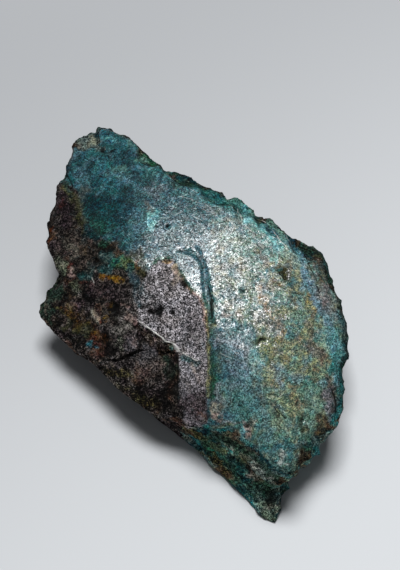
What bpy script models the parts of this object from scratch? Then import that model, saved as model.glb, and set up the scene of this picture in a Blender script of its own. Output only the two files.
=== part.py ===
"""Rough turquoise: one loose stone, lying on its flat cleft with its rubbed face up.

Blender 4.5. Metres, +Z up. The origin is on the surface that the stone rests on, under the middle of
the stone's bounding box. +Y is the stone's length, +X its width, +Z its thickness.
The stone is one solid: a loft from the cleft, up the broken sides and over the domed face, from which
the spalls and the chips along the crest are cut.
"""
import math

import bmesh
import bpy
from mathutils import Euler, Vector, noise

MM = 0.001

# Driving dimensions, in millimetres.
FACE_TOP = 41.0  # the face's highest point above the cleft
DOME_CENTRE = (7.0, 3.5)
DOME_RADIUS_ACROSS = 170.0  # how strongly the face curves across the stone
DOME_RADIUS_ALONG = 260.0  # and along it
SHOULDER_HEIGHT = 44.7  # the sloping left shoulder is this plane: its height at the origin,
SHOULDER_SLOPE = (0.376, 0.402)  # and its rise per millimetre towards +X and +Y
SHOULDER_BLEND = 3.0  # the height over which the dome rolls into the shoulder
LOFT_CENTRE = (2.0, 0.0)
WIDEST_GAP = math.radians(3.4)  # between two columns of the loft

# The rim, where the face turns over into the sides, seen from above, clockwise from the top tip.
# Each stretch goes with how far its edge is worn down below the face's own height.
CREST = 4.2, [
    (-40.0, 83.0), (-34.5, 80.5), (-31.5, 77.0), (-26.0, 74.0), (-22.5, 69.0), (-20.5, 65.0),
    (-15.0, 62.0), (-11.5, 55.0), (-9.5, 54.2), (-7.0, 54.5), (-0.5, 51.5), (4.5, 47.2),
    (7.0, 45.5), (10.5, 45.8), (16.5, 42.0), (20.5, 41.5), (23.5, 39.0), (25.5, 36.2),
    (26.0, 32.8), (28.5, 32.6), (32.5, 32.3), (36.0, 30.0), (40.5, 23.6), (43.5, 22.6),
    (49.0, 20.0), (52.0, 18.2),
]
RIGHT_SIDE = 4.0, [
    (53.5, 15.5), (55.0, 9.5), (57.5, 2.0), (60.0, -4.0), (61.0, -11.5), (61.0, -24.0),
    (59.0, -28.5), (59.0, -31.5), (58.0, -34.5), (59.5, -36.0), (58.5, -42.5), (56.5, -48.5),
    (52.5, -54.5), (47.5, -57.5), (43.0, -61.0), (41.8, -66.0), (40.5, -69.0), (38.5, -70.5),
]
BROKEN_WALL = 1.3, [
    (35.5, -69.5), (30.5, -66.5), (26.0, -61.5), (22.5, -58.5), (17.5, -54.5), (14.5, -52.5),
    (9.0, -52.5), (4.0, -49.5), (-4.5, -46.0), (-13.5, -44.8),
]
LOWER_EDGE = 1.0, [
    (-20.5, -40.0), (-27.4, -34.8), (-37.4, -25.4), (-46.9, -16.7), (-51.0, -13.3), (-56.0, -8.6),
]
LEFT_SIDE = 1.6, [
    (-60.2, -4.4), (-61.0, -2.0), (-60.0, 1.0), (-58.0, 2.0), (-58.0, 4.0), (-55.5, 8.0),
    (-54.0, 12.0), (-54.0, 14.5), (-56.5, 20.0), (-58.5, 25.0), (-57.5, 27.5), (-58.5, 33.0),
    (-57.6, 38.5), (-55.9, 41.6), (-56.0, 52.5), (-54.8, 54.2), (-52.7, 54.5), (-52.2, 58.6),
    (-51.6, 63.3), (-50.8, 66.0), (-50.4, 72.5), (-49.3, 75.4), (-46.2, 78.6), (-43.1, 78.5),
    (-39.9, 78.2),
]
# The cleft that it rests on: the undercut sides, and the toe of the broken wall.
CLEFT = [
    (-40.0, 62.0), (-30.0, 63.0), (-18.0, 52.0), (-3.0, 41.0), (10.0, 35.0), (25.0, 25.0),
    (40.0, 12.0), (50.0, -2.0), (53.0, -20.0), (51.0, -38.0), (44.0, -51.0), (38.5, -61.0),
    (36.4, -70.0), (34.8, -76.0), (34.5, -78.5), (34.0, -81.5), (32.5, -83.0), (28.0, -81.0),
    (23.5, -75.5), (17.5, -69.0), (9.5, -61.0), (4.0, -55.5), (-4.0, -49.0), (-12.5, -42.0),
    (-20.0, -34.0), (-40.0, -13.0), (-50.0, 3.0), (-47.0, 25.0), (-48.0, 45.0),
]
SIDE_RISES = (0.0, 0.06, 0.2, 0.38, 0.56, 0.72, 0.87)  # levels up the sides, as shares of the height
SIDE_REACHES = (2, 4, 4, 3, 1)  # over how many columns each way the upper levels are evened out
RIM_DEPTHS = (0.0, 1.2, 2.8, 6.0)  # levels inward from the rim
FACE_SHARES = (0.16, 0.32, 0.48, 0.64, 0.82)  # levels from there to the loft's centre

# A spall is a block that came away: pairs of corners seen from above, the first on the face and the
# second on the spall's floor, and the floor's plane (height at the origin, rise towards +X and +Y).
RIDGE_SPALL = (34.9, 0.179, 0.284), [
    ((-21.4, -10.0), (-19.4, -13.6)), ((-16.8, -13.4), (-17.6, -16.4)),
    ((-12.7, -16.6), (-15.6, -19.0)), ((-8.2, -20.0), (-13.4, -21.2)),
    ((-4.0, -23.4), (-7.4, -23.8)), ((-3.8, -35.7), (-9.6, -32.5)),
    ((-3.4, -42.8), (-11.4, -38.0)), ((-2.0, -46.0), (-12.4, -43.8)),
    ((-2.0, -60.0), (-12.4, -60.0)), ((-50.0, -60.0), (-50.0, -60.0)),
    ((-50.0, -20.8), (-50.0, -21.8)), ((-40.6, -19.8), (-40.4, -20.8)),
    ((-28.6, -23.4), (-27.8, -24.6)), ((-24.4, -22.0), (-23.6, -23.2)),
    ((-19.8, -19.6), (-18.6, -20.6)), ((-21.0, -14.0), (-19.8, -16.0)),
]
TIP_SPALL = (55.6, 0.306, -0.275), [
    ((-38.6, 69.5), (-39.0, 69.9)), ((-41.0, 69.4), (-41.2, 69.9)),
    ((-42.9, 68.9), (-42.9, 69.4)), ((-44.3, 67.0), (-44.4, 67.6)),
    ((-46.6, 68.5), (-46.5, 69.1)), ((-49.0, 70.8), (-48.8, 71.4)),
    ((-56.0, 72.0), (-56.0, 72.6)), ((-56.0, 92.0), (-56.0, 92.0)),
    ((-39.8, 92.0), (-40.0, 92.0)), ((-39.3, 78.0), (-39.6, 78.0)),
]
# A chip is one conchoidal shell: its inner edge on the face, its outer edge on the rim with how far it
# lies below the face there, and the shell's radius.
CHIPS = {
    "crest_top": ((-19.6, 56.6), (-16.2, 63.0), 5.2, 12.0),
    "crest_upper": ((-2.2, 43.8), (0.0, 51.4), 5.3, 22.0),
    "crest_middle": ((10.6, 35.2), (13.2, 44.0), 5.6, 17.0),
    "crest_step": ((19.6, 31.4), (23.4, 39.0), 5.2, 12.0),
    "crest_lower": ((30.2, 23.4), (34.6, 31.0), 5.6, 19.0),
    "right_shoulder": ((43.0, 13.4), (47.8, 20.6), 5.2, 14.0),
    "left_pocket": ((-51.0, 9.0), (-55.4, 8.6), 4.5, 5.5),
}


def smooth_min(a, b, blend):
    """The smaller of two heights, with the corner between them rounded over a blend's height."""
    share = max(blend - abs(a - b), 0.0) / blend
    return min(a, b) - share * share * blend / 4


def face_height(x, y):
    """The face's height above the cleft: a shallow dome, cut off to the left by a sloping shoulder."""
    across = (x - DOME_CENTRE[0]) ** 2 / (2 * DOME_RADIUS_ACROSS)
    along = (y - DOME_CENTRE[1]) ** 2 / (2 * DOME_RADIUS_ALONG)
    shoulder = SHOULDER_HEIGHT + SHOULDER_SLOPE[0] * x + SHOULDER_SLOPE[1] * y
    return smooth_min(FACE_TOP - across - along, shoulder, SHOULDER_BLEND)


def on_face(spot, below=0.0):
    return Vector((spot[0], spot[1], face_height(*spot) - below))


def bearing(point):
    return math.atan2(point[1] - LOFT_CENTRE[1], point[0] - LOFT_CENTRE[0])


def where_ray_meets(outline, angle):
    """Where a closed outline of points (x, y, anything) crosses this bearing from the loft's centre."""
    centre = Vector(LOFT_CENTRE)
    along = Vector((math.cos(angle), math.sin(angle)))
    for start, end in zip(outline, outline[1:] + outline[:1]):
        start, end = Vector(start), Vector(end)
        edge, to_start = (end - start).xy, start.xy - centre
        across = along.cross(edge)
        if abs(across) < 1e-9:
            continue
        reach, share = to_start.cross(edge) / across, to_start.cross(along) / across
        if reach > 0 and -1e-6 <= share <= 1 + 1e-6:
            return start.lerp(end, share)
    raise ValueError("the outline doesn't surround the loft's centre")


def column_bearings(*outlines):
    """The bearing of every corner of the outlines, with more between where they are far apart."""
    corners = sorted({round(bearing(point), 4) for outline in outlines for point in outline})
    found = []
    for here, after in zip(corners, corners[1:] + [corners[0] + 2 * math.pi]):
        if found and here - found[-1] < WIDEST_GAP / 8:
            continue
        steps = max(1, math.ceil((after - here) / WIDEST_GAP))
        found += [here + (after - here) * step / steps for step in range(steps)]
    return found


def lumps(point, size, depth):
    """A smooth unevenness of the given lump size, from minus to plus the given depth."""
    return depth * noise.noise(Vector(point) / size)


def column(rim_outline, cleft_outline, angle):
    """One column's points: from the cleft's edge, up the side and over the rim to near the centre."""
    rim = where_ray_meets(rim_outline, angle)
    rim, worn = rim.xy, rim.z
    foot = where_ray_meets(cleft_outline, angle).xy
    inward = (Vector(LOFT_CENTRE) - rim).normalized()
    rim_height = face_height(*rim) - worn
    overhangs = (foot - rim).dot(inward) > 0
    points = []
    for rise in SIDE_RISES:
        # A side that overhangs its foot bulges, and the toe of the broken wall is slightly hollow.
        spot = foot.lerp(rim, rise ** (0.6 if overhangs else 1.15))
        if 0.1 < rise:
            at = (*spot, rise * 30)
            spot = spot + inward * (0.2 + lumps(at, 22.0, 2.4) + lumps(at, 8.0, 1.3))
        points.append((*spot, rise * rim_height))
    for depth in RIM_DEPTHS:
        spot = rim + inward * depth
        points.append(on_face(spot, worn * math.exp(-depth / 2.0)))
    edge = rim + inward * RIM_DEPTHS[-1]
    for share in FACE_SHARES:
        spot = edge.lerp(Vector(LOFT_CENTRE), share)
        points.append(on_face(spot, lumps((*spot, 7.0), 16.0, 0.4)))
    return points


def ease_sides(columns):
    """Evens out each level between the cleft and the rim, so the rim's notches fade on their way down."""
    count = len(columns)
    for level, reach in zip(range(2, len(SIDE_RISES)), SIDE_REACHES):
        ring = [Vector(points[level]) for points in columns]
        for here in range(count):
            near = [ring[(here + step) % count] for step in range(-reach, reach + 1)]
            columns[here][level] = sum(near, Vector((0, 0, 0))) / len(near)


def loft_stone():
    """The whole stone before anything came away: columns side by side, closed below and at the top."""
    stretches = (CREST, RIGHT_SIDE, BROKEN_WALL, LOWER_EDGE, LEFT_SIDE)
    rim_outline = [(x, y, worn) for worn, points in stretches for x, y in points]
    cleft_outline = [(x, y, 0.0) for x, y in CLEFT]
    bearings = column_bearings(rim_outline, cleft_outline)
    columns = [column(rim_outline, cleft_outline, angle) for angle in bearings]
    ease_sides(columns)
    bm = bmesh.new()
    rows = [[bm.verts.new(Vector(point) * MM) for point in points] for points in columns]
    crown = bm.verts.new(on_face(LOFT_CENTRE) * MM)
    for here, after in zip(rows, rows[1:] + rows[:1]):
        for level in range(len(here) - 1):
            bm.faces.new((here[level], after[level], after[level + 1], here[level + 1]))
        bm.faces.new((here[-1], after[-1], crown))
    bm.faces.new([row[0] for row in reversed(rows)])
    bmesh.ops.recalc_face_normals(bm, faces=bm.faces)
    mesh = bpy.data.meshes.new("turquoise_stone")
    bm.to_mesh(mesh)
    bm.free()
    return bpy.data.objects.new("turquoise_stone", mesh)


def spall_cutter(name, floor_plane, corners):
    """A block between the spall's floor and its mouth, with walls that pass through the face's corners."""
    height, slope_x, slope_y = floor_plane
    bm = bmesh.new()
    floor, mouth = [], []
    for face_corner, floor_corner in corners:
        x, y = floor_corner
        low = Vector((x, y, height + slope_x * x + slope_y * y))
        edge = on_face(face_corner)
        edge.z = max(edge.z, low.z + 0.6)
        rise = edge - low
        floor.append(bm.verts.new(low * MM))
        mouth.append(bm.verts.new((low + rise * (12.0 / rise.z)) * MM))
    count = len(corners)
    for here in range(count):
        after = (here + 1) % count
        bm.faces.new((floor[here], floor[after], mouth[after], mouth[here]))
    bm.faces.new(floor)
    bm.faces.new(mouth)
    bmesh.ops.triangulate(bm, faces=bm.faces)
    bmesh.ops.recalc_face_normals(bm, faces=bm.faces)
    mesh = bpy.data.meshes.new(name)
    bm.to_mesh(mesh)
    bm.free()
    return bpy.data.objects.new(name, mesh)


def chip_cutter(name, inner, outer, below, radius):
    """A ball whose shell runs from the chip's inner edge on the face to its outer edge below the rim."""
    start, end = on_face(inner), on_face(outer, below)
    chord = end - start
    flat = chord.xy.normalized()
    up = Vector((-chord.z * flat.x, -chord.z * flat.y, chord.xy.length)).normalized()
    centre = (start + end) / 2 + up * math.sqrt(radius**2 - (chord.length / 2) ** 2)
    bm = bmesh.new()
    bmesh.ops.create_icosphere(bm, subdivisions=3, radius=radius * MM)
    mesh = bpy.data.meshes.new(name)
    bm.to_mesh(mesh)
    bm.free()
    cutter = bpy.data.objects.new(name, mesh)
    cutter.location = centre * MM
    cutter.rotation_euler = Euler((0.3, 0.2, inner[0] * 0.1))
    return cutter


def cut_away(stone, cutter, cutters):
    cutters.objects.link(cutter)
    cutter.hide_render = True
    cutter.display_type = "WIRE"
    modifier = stone.modifiers.new(cutter.name, "BOOLEAN")
    modifier.operation = "DIFFERENCE"
    modifier.object = cutter


def stone_material():
    material = bpy.data.materials.new("turquoise_in_matrix")
    material.use_nodes = True
    shader = material.node_tree.nodes["Principled BSDF"]
    shader.inputs["Base Color"].default_value = (0.075, 0.185, 0.18, 1.0)
    shader.inputs["Roughness"].default_value = 0.5
    shader.inputs["Metallic"].default_value = 0.0
    return material


def main():
    for old in list(bpy.data.objects):
        bpy.data.objects.remove(old)
    parts = bpy.data.collections.new("rough_turquoise")
    cutters = bpy.data.collections.new("cutters")
    for collection in (parts, cutters):
        bpy.context.scene.collection.children.link(collection)
    stone = loft_stone()
    parts.objects.link(stone)
    stone.data.materials.append(stone_material())
    cut_away(stone, spall_cutter("ridge_spall", *RIDGE_SPALL), cutters)
    cut_away(stone, spall_cutter("tip_spall", *TIP_SPALL), cutters)
    for name, (inner, outer, below, radius) in CHIPS.items():
        cut_away(stone, chip_cutter(f"chip_{name}", inner, outer, below, radius), cutters)
    stone.data.shade_smooth()
    stone.data.set_sharp_from_angle(angle=math.radians(30))


main()
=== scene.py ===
# %% [markdown]
# # A rough turquoise, lying with its rubbed face up
# The real object is one broken piece of rock. Turquoise has grown through a dark, grainy matrix; one
# face has been rubbed smooth, a corner and a shoulder have spalled away, and the other sides are raw
# breaks. Everything here is one piece, so the lesson is about surface: how a plain solid gets relief,
# and how one material can hold a dozen minerals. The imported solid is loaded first, because the finished
# stone has to keep to its place and size.

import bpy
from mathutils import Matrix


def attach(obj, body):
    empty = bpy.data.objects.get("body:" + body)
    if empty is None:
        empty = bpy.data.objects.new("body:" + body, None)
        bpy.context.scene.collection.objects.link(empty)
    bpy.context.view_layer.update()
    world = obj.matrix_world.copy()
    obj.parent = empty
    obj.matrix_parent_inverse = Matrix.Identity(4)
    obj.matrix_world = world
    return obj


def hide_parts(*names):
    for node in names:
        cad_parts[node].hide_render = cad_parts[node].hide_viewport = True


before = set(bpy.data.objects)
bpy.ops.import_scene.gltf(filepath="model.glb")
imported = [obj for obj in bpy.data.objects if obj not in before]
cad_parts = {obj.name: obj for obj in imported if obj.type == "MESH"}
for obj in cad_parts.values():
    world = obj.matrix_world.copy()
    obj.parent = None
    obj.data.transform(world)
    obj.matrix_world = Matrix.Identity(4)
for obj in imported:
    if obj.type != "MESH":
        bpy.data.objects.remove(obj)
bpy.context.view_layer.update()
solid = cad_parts["turquoise_stone"]

# %% [markdown]
# ## Working in millimetres
# A stone's features are a few millimetres long, so the numbers below are in millimetres and are turned
# into Blender's metres only when a mesh is written. `smoothstep` is the soft switch used throughout: 0
# below its first limit, 1 above its second, and a rounded ramp between.

# %% Units and the soft switch
import math

import bmesh
import bpy
import numpy as np
from mathutils import Vector, noise

MM = 0.001


def smoothstep(low, high, value):
    share = np.clip((np.asarray(value, float) - low) / (high - low), 0, 1)
    return share * share * (3 - 2 * share)


print("halfway between 2 and 4 mm:", smoothstep(2, 4, 3.0))

# %% [markdown]
# ## A fine mesh from the coarse one
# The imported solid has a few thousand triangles, far too few for pits and cracks. Subdividing it would
# keep its long thin triangles, and they show up as streaks once the points move. A voxel remesh
# rebuilds the same shape from small even quads, which can be pushed in any direction. A copy is merged
# first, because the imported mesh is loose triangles.

# %% The fine mesh
VOXEL = 0.66  # mm; finer passes 200,000 triangles


def placed(name, data):
    """A new object that shows the data, linked into the scene."""
    obj = bpy.data.objects.new(name, data)
    bpy.context.scene.collection.objects.link(obj)
    return obj


def plain_mesh(obj):
    """The mesh that an object shows with all its modifiers, as a mesh of its own."""
    return bpy.data.meshes.new_from_object(obj.evaluated_get(bpy.context.evaluated_depsgraph_get()))


def fine_copy(node, name, voxel):
    merged = bmesh.new()
    merged.from_mesh(node.data)
    bmesh.ops.remove_doubles(merged, verts=merged.verts, dist=1e-6)
    mesh = bpy.data.meshes.new(name)
    merged.to_mesh(mesh)
    merged.free()
    obj = placed(name, mesh)
    remesh = obj.modifiers.new("even quads", "REMESH")
    remesh.mode, remesh.voxel_size, remesh.adaptivity = "VOXEL", voxel * MM, 0.0
    obj.data = plain_mesh(obj)
    obj.modifiers.clear()
    return obj


stone = fine_copy(solid, "turquoise_stone_finished", VOXEL)
print("fine mesh:", len(stone.data.vertices), "points")

# %% [markdown]
# ## Points as an array
# Moving a hundred thousand points one by one is slow, so they are read into a NumPy array, one row a
# point, and every later step works on all the rows at once. The normals say which way each spot faces.

# %% Reading and writing the points


def read(mesh, what):
    values = np.empty(len(mesh.vertices) * 3, np.float32)
    mesh.vertices.foreach_get(what, values)
    return values.reshape(-1, 3).astype(float)


def write_points(obj, points):
    obj.data.vertices.foreach_set("co", (points * MM).astype(np.float32).ravel())
    obj.data.update()


points = read(stone.data, "co") / MM
facing = read(stone.data, "normal")
print("lowest and highest:", points.min(0).round(2), points.max(0).round(2))

# %% [markdown]
# ## The face as a formula
# The rubbed face is a shallow dome whose left side rolls over into a sloping shoulder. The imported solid
# holds it as flat triangles, and a polished surface would show their edges in its highlight. So the
# points that lie on the face are put back on the exact curve. `below` is how far a point lies under the
# face, and tells the face itself from the chips, the breaks and the sides.

# %% The dome and the shoulder
CROWN = (7.0, 3.5, 41.0)  # the dome's highest point
FLATNESS = (340.0, 520.0)  # the larger, the flatter, across and along
SHOULDER = (0.376, 0.402, 44.7)  # slopes across and along, and the height at the middle
ROLL = 3.0  # how softly the dome rolls over into the shoulder


def face_height(x, y):
    dome = CROWN[2] - (x - CROWN[0]) ** 2 / FLATNESS[0] - (y - CROWN[1]) ** 2 / FLATNESS[1]
    shoulder = SHOULDER[2] + SHOULDER[0] * x + SHOULDER[1] * y
    share = np.maximum(ROLL - np.abs(dome - shoulder), 0) / ROLL
    return np.minimum(dome, shoulder) - share * share * (ROLL / 4)


def unevenness(where, size, seed, octaves=2):
    """Smooth noise, about -1 to 1, with lumps of about the given size in millimetres."""
    scale, shift = 1.0 / size, Vector((seed * 7.3, seed * 3.1, seed * 5.7))
    found = [noise.fractal(Vector(row) * scale + shift, 1.0, 2.0, octaves) for row in where.tolist()]
    return np.array(found)


below = face_height(points[:, 0], points[:, 1]) - points[:, 2]
upward = smoothstep(0.45, 0.8, facing[:, 2])  # 1 where a spot faces up
on_face = upward * (1 - smoothstep(0.4, 0.9, np.abs(below)))
undulation = 0.3 * unevenness(points * (1, 1, 0), 26.0, 1)
points[:, 2] += on_face * (below + undulation)
print("points put back on the face:", int((on_face > 0.5).sum()))

# %% [markdown]
# ## Drawing on the stone
# Features are drawn as a sculptor would pencil them on, seen from above: a path is a line of points,
# and a blob is a spot with a radius. `along` measures how far every point of the mesh is from a path,
# and `inside` how deep it lies within a closed outline. A little noise on the measured distance makes
# each edge ragged, as a natural one is.

# %% Distances to paths, outlines and blobs
plan = points[:, :2].copy()
ragged_fine = unevenness(points, 2.2, 2)
ragged_wide = unevenness(points, 7.0, 3)


def along(path, where=None, sided=False):
    """Each point's distance from a path, and its place along it from 0 to 1; the side too, if asked."""
    where = plan if where is None else where
    path = np.array(path, float)
    lengths = np.linalg.norm(np.diff(path, axis=0), axis=1)
    nearest = np.full(len(where), 1e9)
    share, side = np.zeros(len(where)), np.ones(len(where))
    for index, (start, end) in enumerate(zip(path[:-1], path[1:])):
        edge, offset = end - start, where - start
        t = np.clip((offset @ edge) / (edge @ edge), 0, 1)
        distance = np.linalg.norm(offset - t[:, None] * edge, axis=1)
        closer = distance < nearest
        nearest[closer] = distance[closer]
        share[closer] = ((lengths[:index].sum() + t * lengths[index]) / lengths.sum())[closer]
        if sided:
            side[closer] = np.sign(edge[0] * offset[:, 1] - edge[1] * offset[:, 0])[closer]
    return (nearest, share, side) if sided else (nearest, share)


def inside(outline):
    """How far each point lies inside a closed outline, in millimetres; negative outside."""
    distance = along([*outline, outline[0]])[0]
    corners = np.array(outline, float)
    odd = np.zeros(len(plan), bool)
    for (x0, y0), (x1, y1) in zip(corners, np.roll(corners, -1, axis=0)):
        crosses = (y0 > plan[:, 1]) != (y1 > plan[:, 1])
        where_x = x0 + (plan[:, 1] - y0) * (x1 - x0) / (y1 - y0 if y1 != y0 else 1e-9)
        odd ^= crosses & (plan[:, 0] < where_x)
    return np.where(odd, distance, -distance)


print("distances ready for", len(plan), "points")

# %% [markdown]
# ## The grainy fin of matrix
# A fin of grey, sugary matrix stands in the turquoise, and wore down a little more than it did. Its
# outline runs from the olive cap at the top, down the veined right edge, to the broken wall. The
# darker matrix to its left shares the fin's left edge.

# %% The fin's outline
FIN = [
    (-14.6, 10.3), (-13.4, 11.7), (-10.1, 11.7), (-7.4, 12.4), (-6.4, 11.1), (-4.7, 7.3), (-3.4, 4.8),
    (-1.3, 0.8), (1.3, -2.7), (3.3, -4.8), (4.9, -6.9), (5.7, -9.6), (6.0, -13.6), (6.5, -20.0),
    (6.7, -26.2), (6.4, -33.2), (6.1, -40.2), (6.4, -50.0), (-1.5, -50.0), (-3.4, -42.8), (-3.8, -35.7),
    (-4.2, -23.6), (-6.1, -21.2), (-12.7, -16.6), (-17.4, -13.5), (-21.0, -10.2), (-19.9, -7.9),
    (-21.3, -4.6), (-21.0, 0.0), (-19.0, 3.3), (-16.7, 5.1),
]
LEFT_MATRIX = [
    (-51.5, 52.5), (-47.0, 48.5), (-43.6, 36.0), (-41.7, 28.1), (-36.7, 24.7), (-31.7, 20.9), (-29.2, 18.5),
    (-24.5, 15.0), (-20.8, 11.0), (-18.3, 7.5), *FIN[:24:-1], FIN[23], FIN[21], FIN[20], FIN[19],
    (-1.5, -47.0), (-20.0, -70.0), (-90.0, -10.0), (-80.0, 60.0),
]
FIN_WEAR = 0.5  # how much lower than the turquoise the fin was worn
in_fin = inside(FIN) + 0.5 * ragged_fine
in_left = inside(LEFT_MATRIX) + 1.2 * ragged_wide + 0.6 * ragged_fine
fin = smoothstep(-0.3, 0.7, in_fin) * upward
points[:, 2] -= FIN_WEAR * fin * on_face
print("fin:", int((fin > 0.5).sum()), "points; left matrix:", int((in_left > 0).sum()))

# %% [markdown]
# ## Grooves, cracks and lips
# A groove is a path that is pushed in, deepest on its line; a lip is a path that is raised. Both taper
# at their ends. The depths are small, less than a millimetre, but the two sides of each line catch the
# light differently, so each one shows. The narrow deep ones are also noted as cracks, to be darkened with
# painted shade.

# %% Cutting the lines
CRACK = [(6.9, 6.5), (6.8, 1.4), (7.6, -2.2), (8.0, -6.4), (8.4, -10.4), (8.5, -13.8), (8.8, -17.0)]
GROOVE = [
    (-4.6, 15.6), (-0.1, 14.9), (2.2, 13.4), (4.2, 11.4), (5.2, 8.5), (5.5, 5.4), (5.6, 1.0), (6.3, -4.5),
    (7.2, -10.0), (8.0, -15.2),
]
SEAM = [(8.4, -18.0), (8.1, -23.3), (8.2, -31.6), (8.0, -41.6), (7.6, -47.3)]
RIDGE = [(-21.0, -10.2), (-17.4, -13.5), (-12.7, -16.6), (-9.6, -19.1), (-6.1, -21.2), (-4.2, -23.6)]
RIDGE_TAIL = [(-4.2, -23.6), (-0.8, -25.4), (1.9, -27.1), (4.2, -28.6)]
VEIN = [
    (30.5, 28.0), (36.1, 23.3), (39.4, 19.8), (42.1, 16.2), (43.6, 12.5), (44.5, 7.1), (45.6, 3.1),
    (47.7, -0.3), (49.5, -5.1), (51.8, -9.5), (53.7, -13.4), (55.2, -18.2), (55.8, -23.6), (55.6, -29.0),
    (55.3, -34.6),
]
VEIN_SHADOW = [
    (45.2, 17.2), (48.1, 10.0), (49.3, 5.7), (49.8, 0.7), (51.0, -3.2), (53.2, -8.0), (55.4, -13.0),
    (57.0, -17.0),
]
LOW_SHADOW = [(51.6, -26.0), (52.0, -29.9), (53.6, -35.0), (54.3, -38.3), (55.0, -41.4), (55.0, -47.4)]
RISER_CRACK = [
    (-19.8, -14.3), (-18.2, -17.4), (-16.6, -19.3), (-14.7, -22.1), (-11.6, -23.1), (-7.7, -24.0),
]
LEFT_CRACK = [(-16.2, -20.2), (-20.6, -21.4), (-24.1, -22.8), (-28.1, -24.2), (-32.5, -23.7), (-36.5, -23.2)]
LINES = {
    # name: path, half width, depth (negative raises)
    "crack beside the groove": (CRACK, 0.75, 0.7),
    "crack's branch": ([(8.0, -3.8), (9.2, -6.8), (10.2, -9.2)], 0.6, 0.4),
    "groove": (GROOVE, 1.6, 0.5),
    "groove's feeder": ([(2.2, 18.2), (3.2, 16.0), (4.2, 13.7)], 0.8, 0.5),
    "seam": (SEAM, 0.9, 0.45),
    "ridge": (RIDGE, 0.7, -0.3),
    "ridge's tail": (RIDGE_TAIL, 0.7, -0.2),
    "below the ridge's tail": ([(-3.4, -25.6), (0.0, -27.2), (3.0, -29.0)], 0.9, 0.8),
    "riser": (RISER_CRACK, 0.7, 0.4),
    "left crack": (LEFT_CRACK, 0.7, 0.8),
    "upper left crack": ([(-27.3, -20.6), (-30.1, -20.7), (-33.3, -19.6), (-36.1, -20.4)], 0.8, 0.9),
    "beside the vein": (VEIN_SHADOW, 0.9, 0.15),
    "vein": (VEIN, 1.8, 0.12),
    "low vein": (LOW_SHADOW, 0.8, 0.4),
    "lower crack": ([(32.2, -46.1), (33.9, -47.8), (35.9, -50.1)], 0.65, 0.8),
    "lower arc": ([(29.2, -41.7), (31.6, -41.2), (33.2, -41.9)], 0.6, 0.45),
    "notch": ([(24.6, -23.3), (25.2, -21.7), (26.2, -20.8), (27.5, -20.6), (28.9, -21.0)], 0.75, 0.9),
    "tip seam": ([(-38.3, 68.9), (-37.5, 67.3), (-35.3, 65.3), (-31.9, 65.4), (-30.3, 66.5)], 0.75, 0.8),
    "left notch": ([(-52.0, 57.0), (-50.0, 54.0), (-48.5, 51.0)], 0.8, 0.9),
    "left edge crack": ([(-50.0, 63.0), (-47.0, 60.6), (-44.0, 59.6)], 0.7, 0.5),
}
# crack_shade gathers where painted shade will darken the narrow cracks and, below, the hollows.
crack_shade = np.zeros(len(points))
for path, half_width, depth in LINES.values():
    distance, share = along(path)
    distance = distance + 0.25 * ragged_fine
    taper = smoothstep(0.0, 0.12, share) * (1 - smoothstep(0.86, 1.0, share))
    reach = (1 - smoothstep(0.0, 1.0, distance / half_width)) * (0.25 + 0.75 * taper) * upward
    points[:, 2] -= depth * reach
    if depth > 0.4 and half_width < 1.0:
        crack_shade = np.maximum(crack_shade, reach * min(1.0, depth))
print(len(LINES), "lines cut or raised")

# %% [markdown]
# ## Pits and chips
# Each hollow is an oval with a flat floor and a soft edge, where a grain fell out. One chip is a flat
# triangle, where a flake broke off. The black vugs in the fin are the deepest. The points are written
# back to the mesh at the end, because everything below only paints them.

# %% Pressing the hollows
HOLLOWS = {
    # name: centre, radii along and across, turn in degrees, depth
    "large vug": ((-11.7, -8.0), (2.1, 1.5), 70, 1.9),
    "flat vug": ((-15.4, -8.1), (2.2, 1.0), -10, 1.3),
    "small vug": ((-18.2, -6.1), (1.5, 1.1), 0, 1.1),
    "right vug": ((-6.7, -9.3), (1.3, 1.1), 0, 1.3),
    "brown pocket": ((-2.6, 1.2), (2.0, 1.0), -25, 1.0),
    "face pit": ((20.2, -1.5), (1.1, 0.9), 0, 0.7),
    "white-rimmed pit": ((21.5, -52.2), (1.3, 1.1), 0, 1.2),
    "dark dot": ((-9.0, 26.4), (0.8, 0.7), 0, 0.8),
    "lower dot": ((42.0, -50.0), (1.1, 0.8), 0, 0.9),
    "lowest dot": ((42.0, -54.3), (1.0, 0.8), 0, 0.8),
    "black pocket": ((-37.2, 13.0), (1.9, 1.6), 0, 1.6),
    "grey block's pit": ((-28.6, -11.2), (1.4, 1.1), 0, 1.2),
    "grey block's upper pit": ((-24.9, -8.0), (1.0, 0.8), 0, 0.9),
    "black hollow": ((-30.5, -4.5), (3.2, 2.2), -30, 1.3),
    "dark corner": ((-33.5, -16.5), (2.6, 1.4), 10, 1.1),
    "shoulder pit": ((-21.5, -13.2), (1.6, 1.0), -35, 0.8),
    "floor pit": ((-12.5, -31.5), (1.8, 1.2), 40, 1.0),
}
for centre, (length, width), turn, depth in HOLLOWS.values():
    angle = math.radians(turn)
    offset = plan - centre
    u = offset @ (math.cos(angle), math.sin(angle))
    v = offset @ (-math.sin(angle), math.cos(angle))
    reach = np.hypot(u / length, v / width) + 0.22 * ragged_fine
    hollow = (1 - smoothstep(0.45, 1.15, reach)) * upward
    points[:, 2] -= depth * hollow
    crack_shade = np.maximum(crack_shade, hollow * min(1.0, depth * 0.8))
CHIP, CHIP_DEPTH = [(33.6, 8.4), (38.4, 9.0), (37.8, 3.0)], 0.8
in_chip = smoothstep(0.0, 1.4, inside(CHIP) + 0.15 * ragged_fine)
points[:, 2] -= CHIP_DEPTH * in_chip * upward
print(len(HOLLOWS), "hollows pressed and one flat chip")
write_points(stone, points)

# %% [markdown]
# ## Minerals as pairs of colours
# Seen close, no mineral has one colour: it is dark grains and light grains side by side. So each one is a
# pair of colours, with the share of light grains and how fine the grain is. The mesh stores the pair at
# every point, painted on with soft strokes, and the material later decides grain by grain which of the
# two shows. The mesh gives the place, and the material the detail.

# %% The minerals


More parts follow.
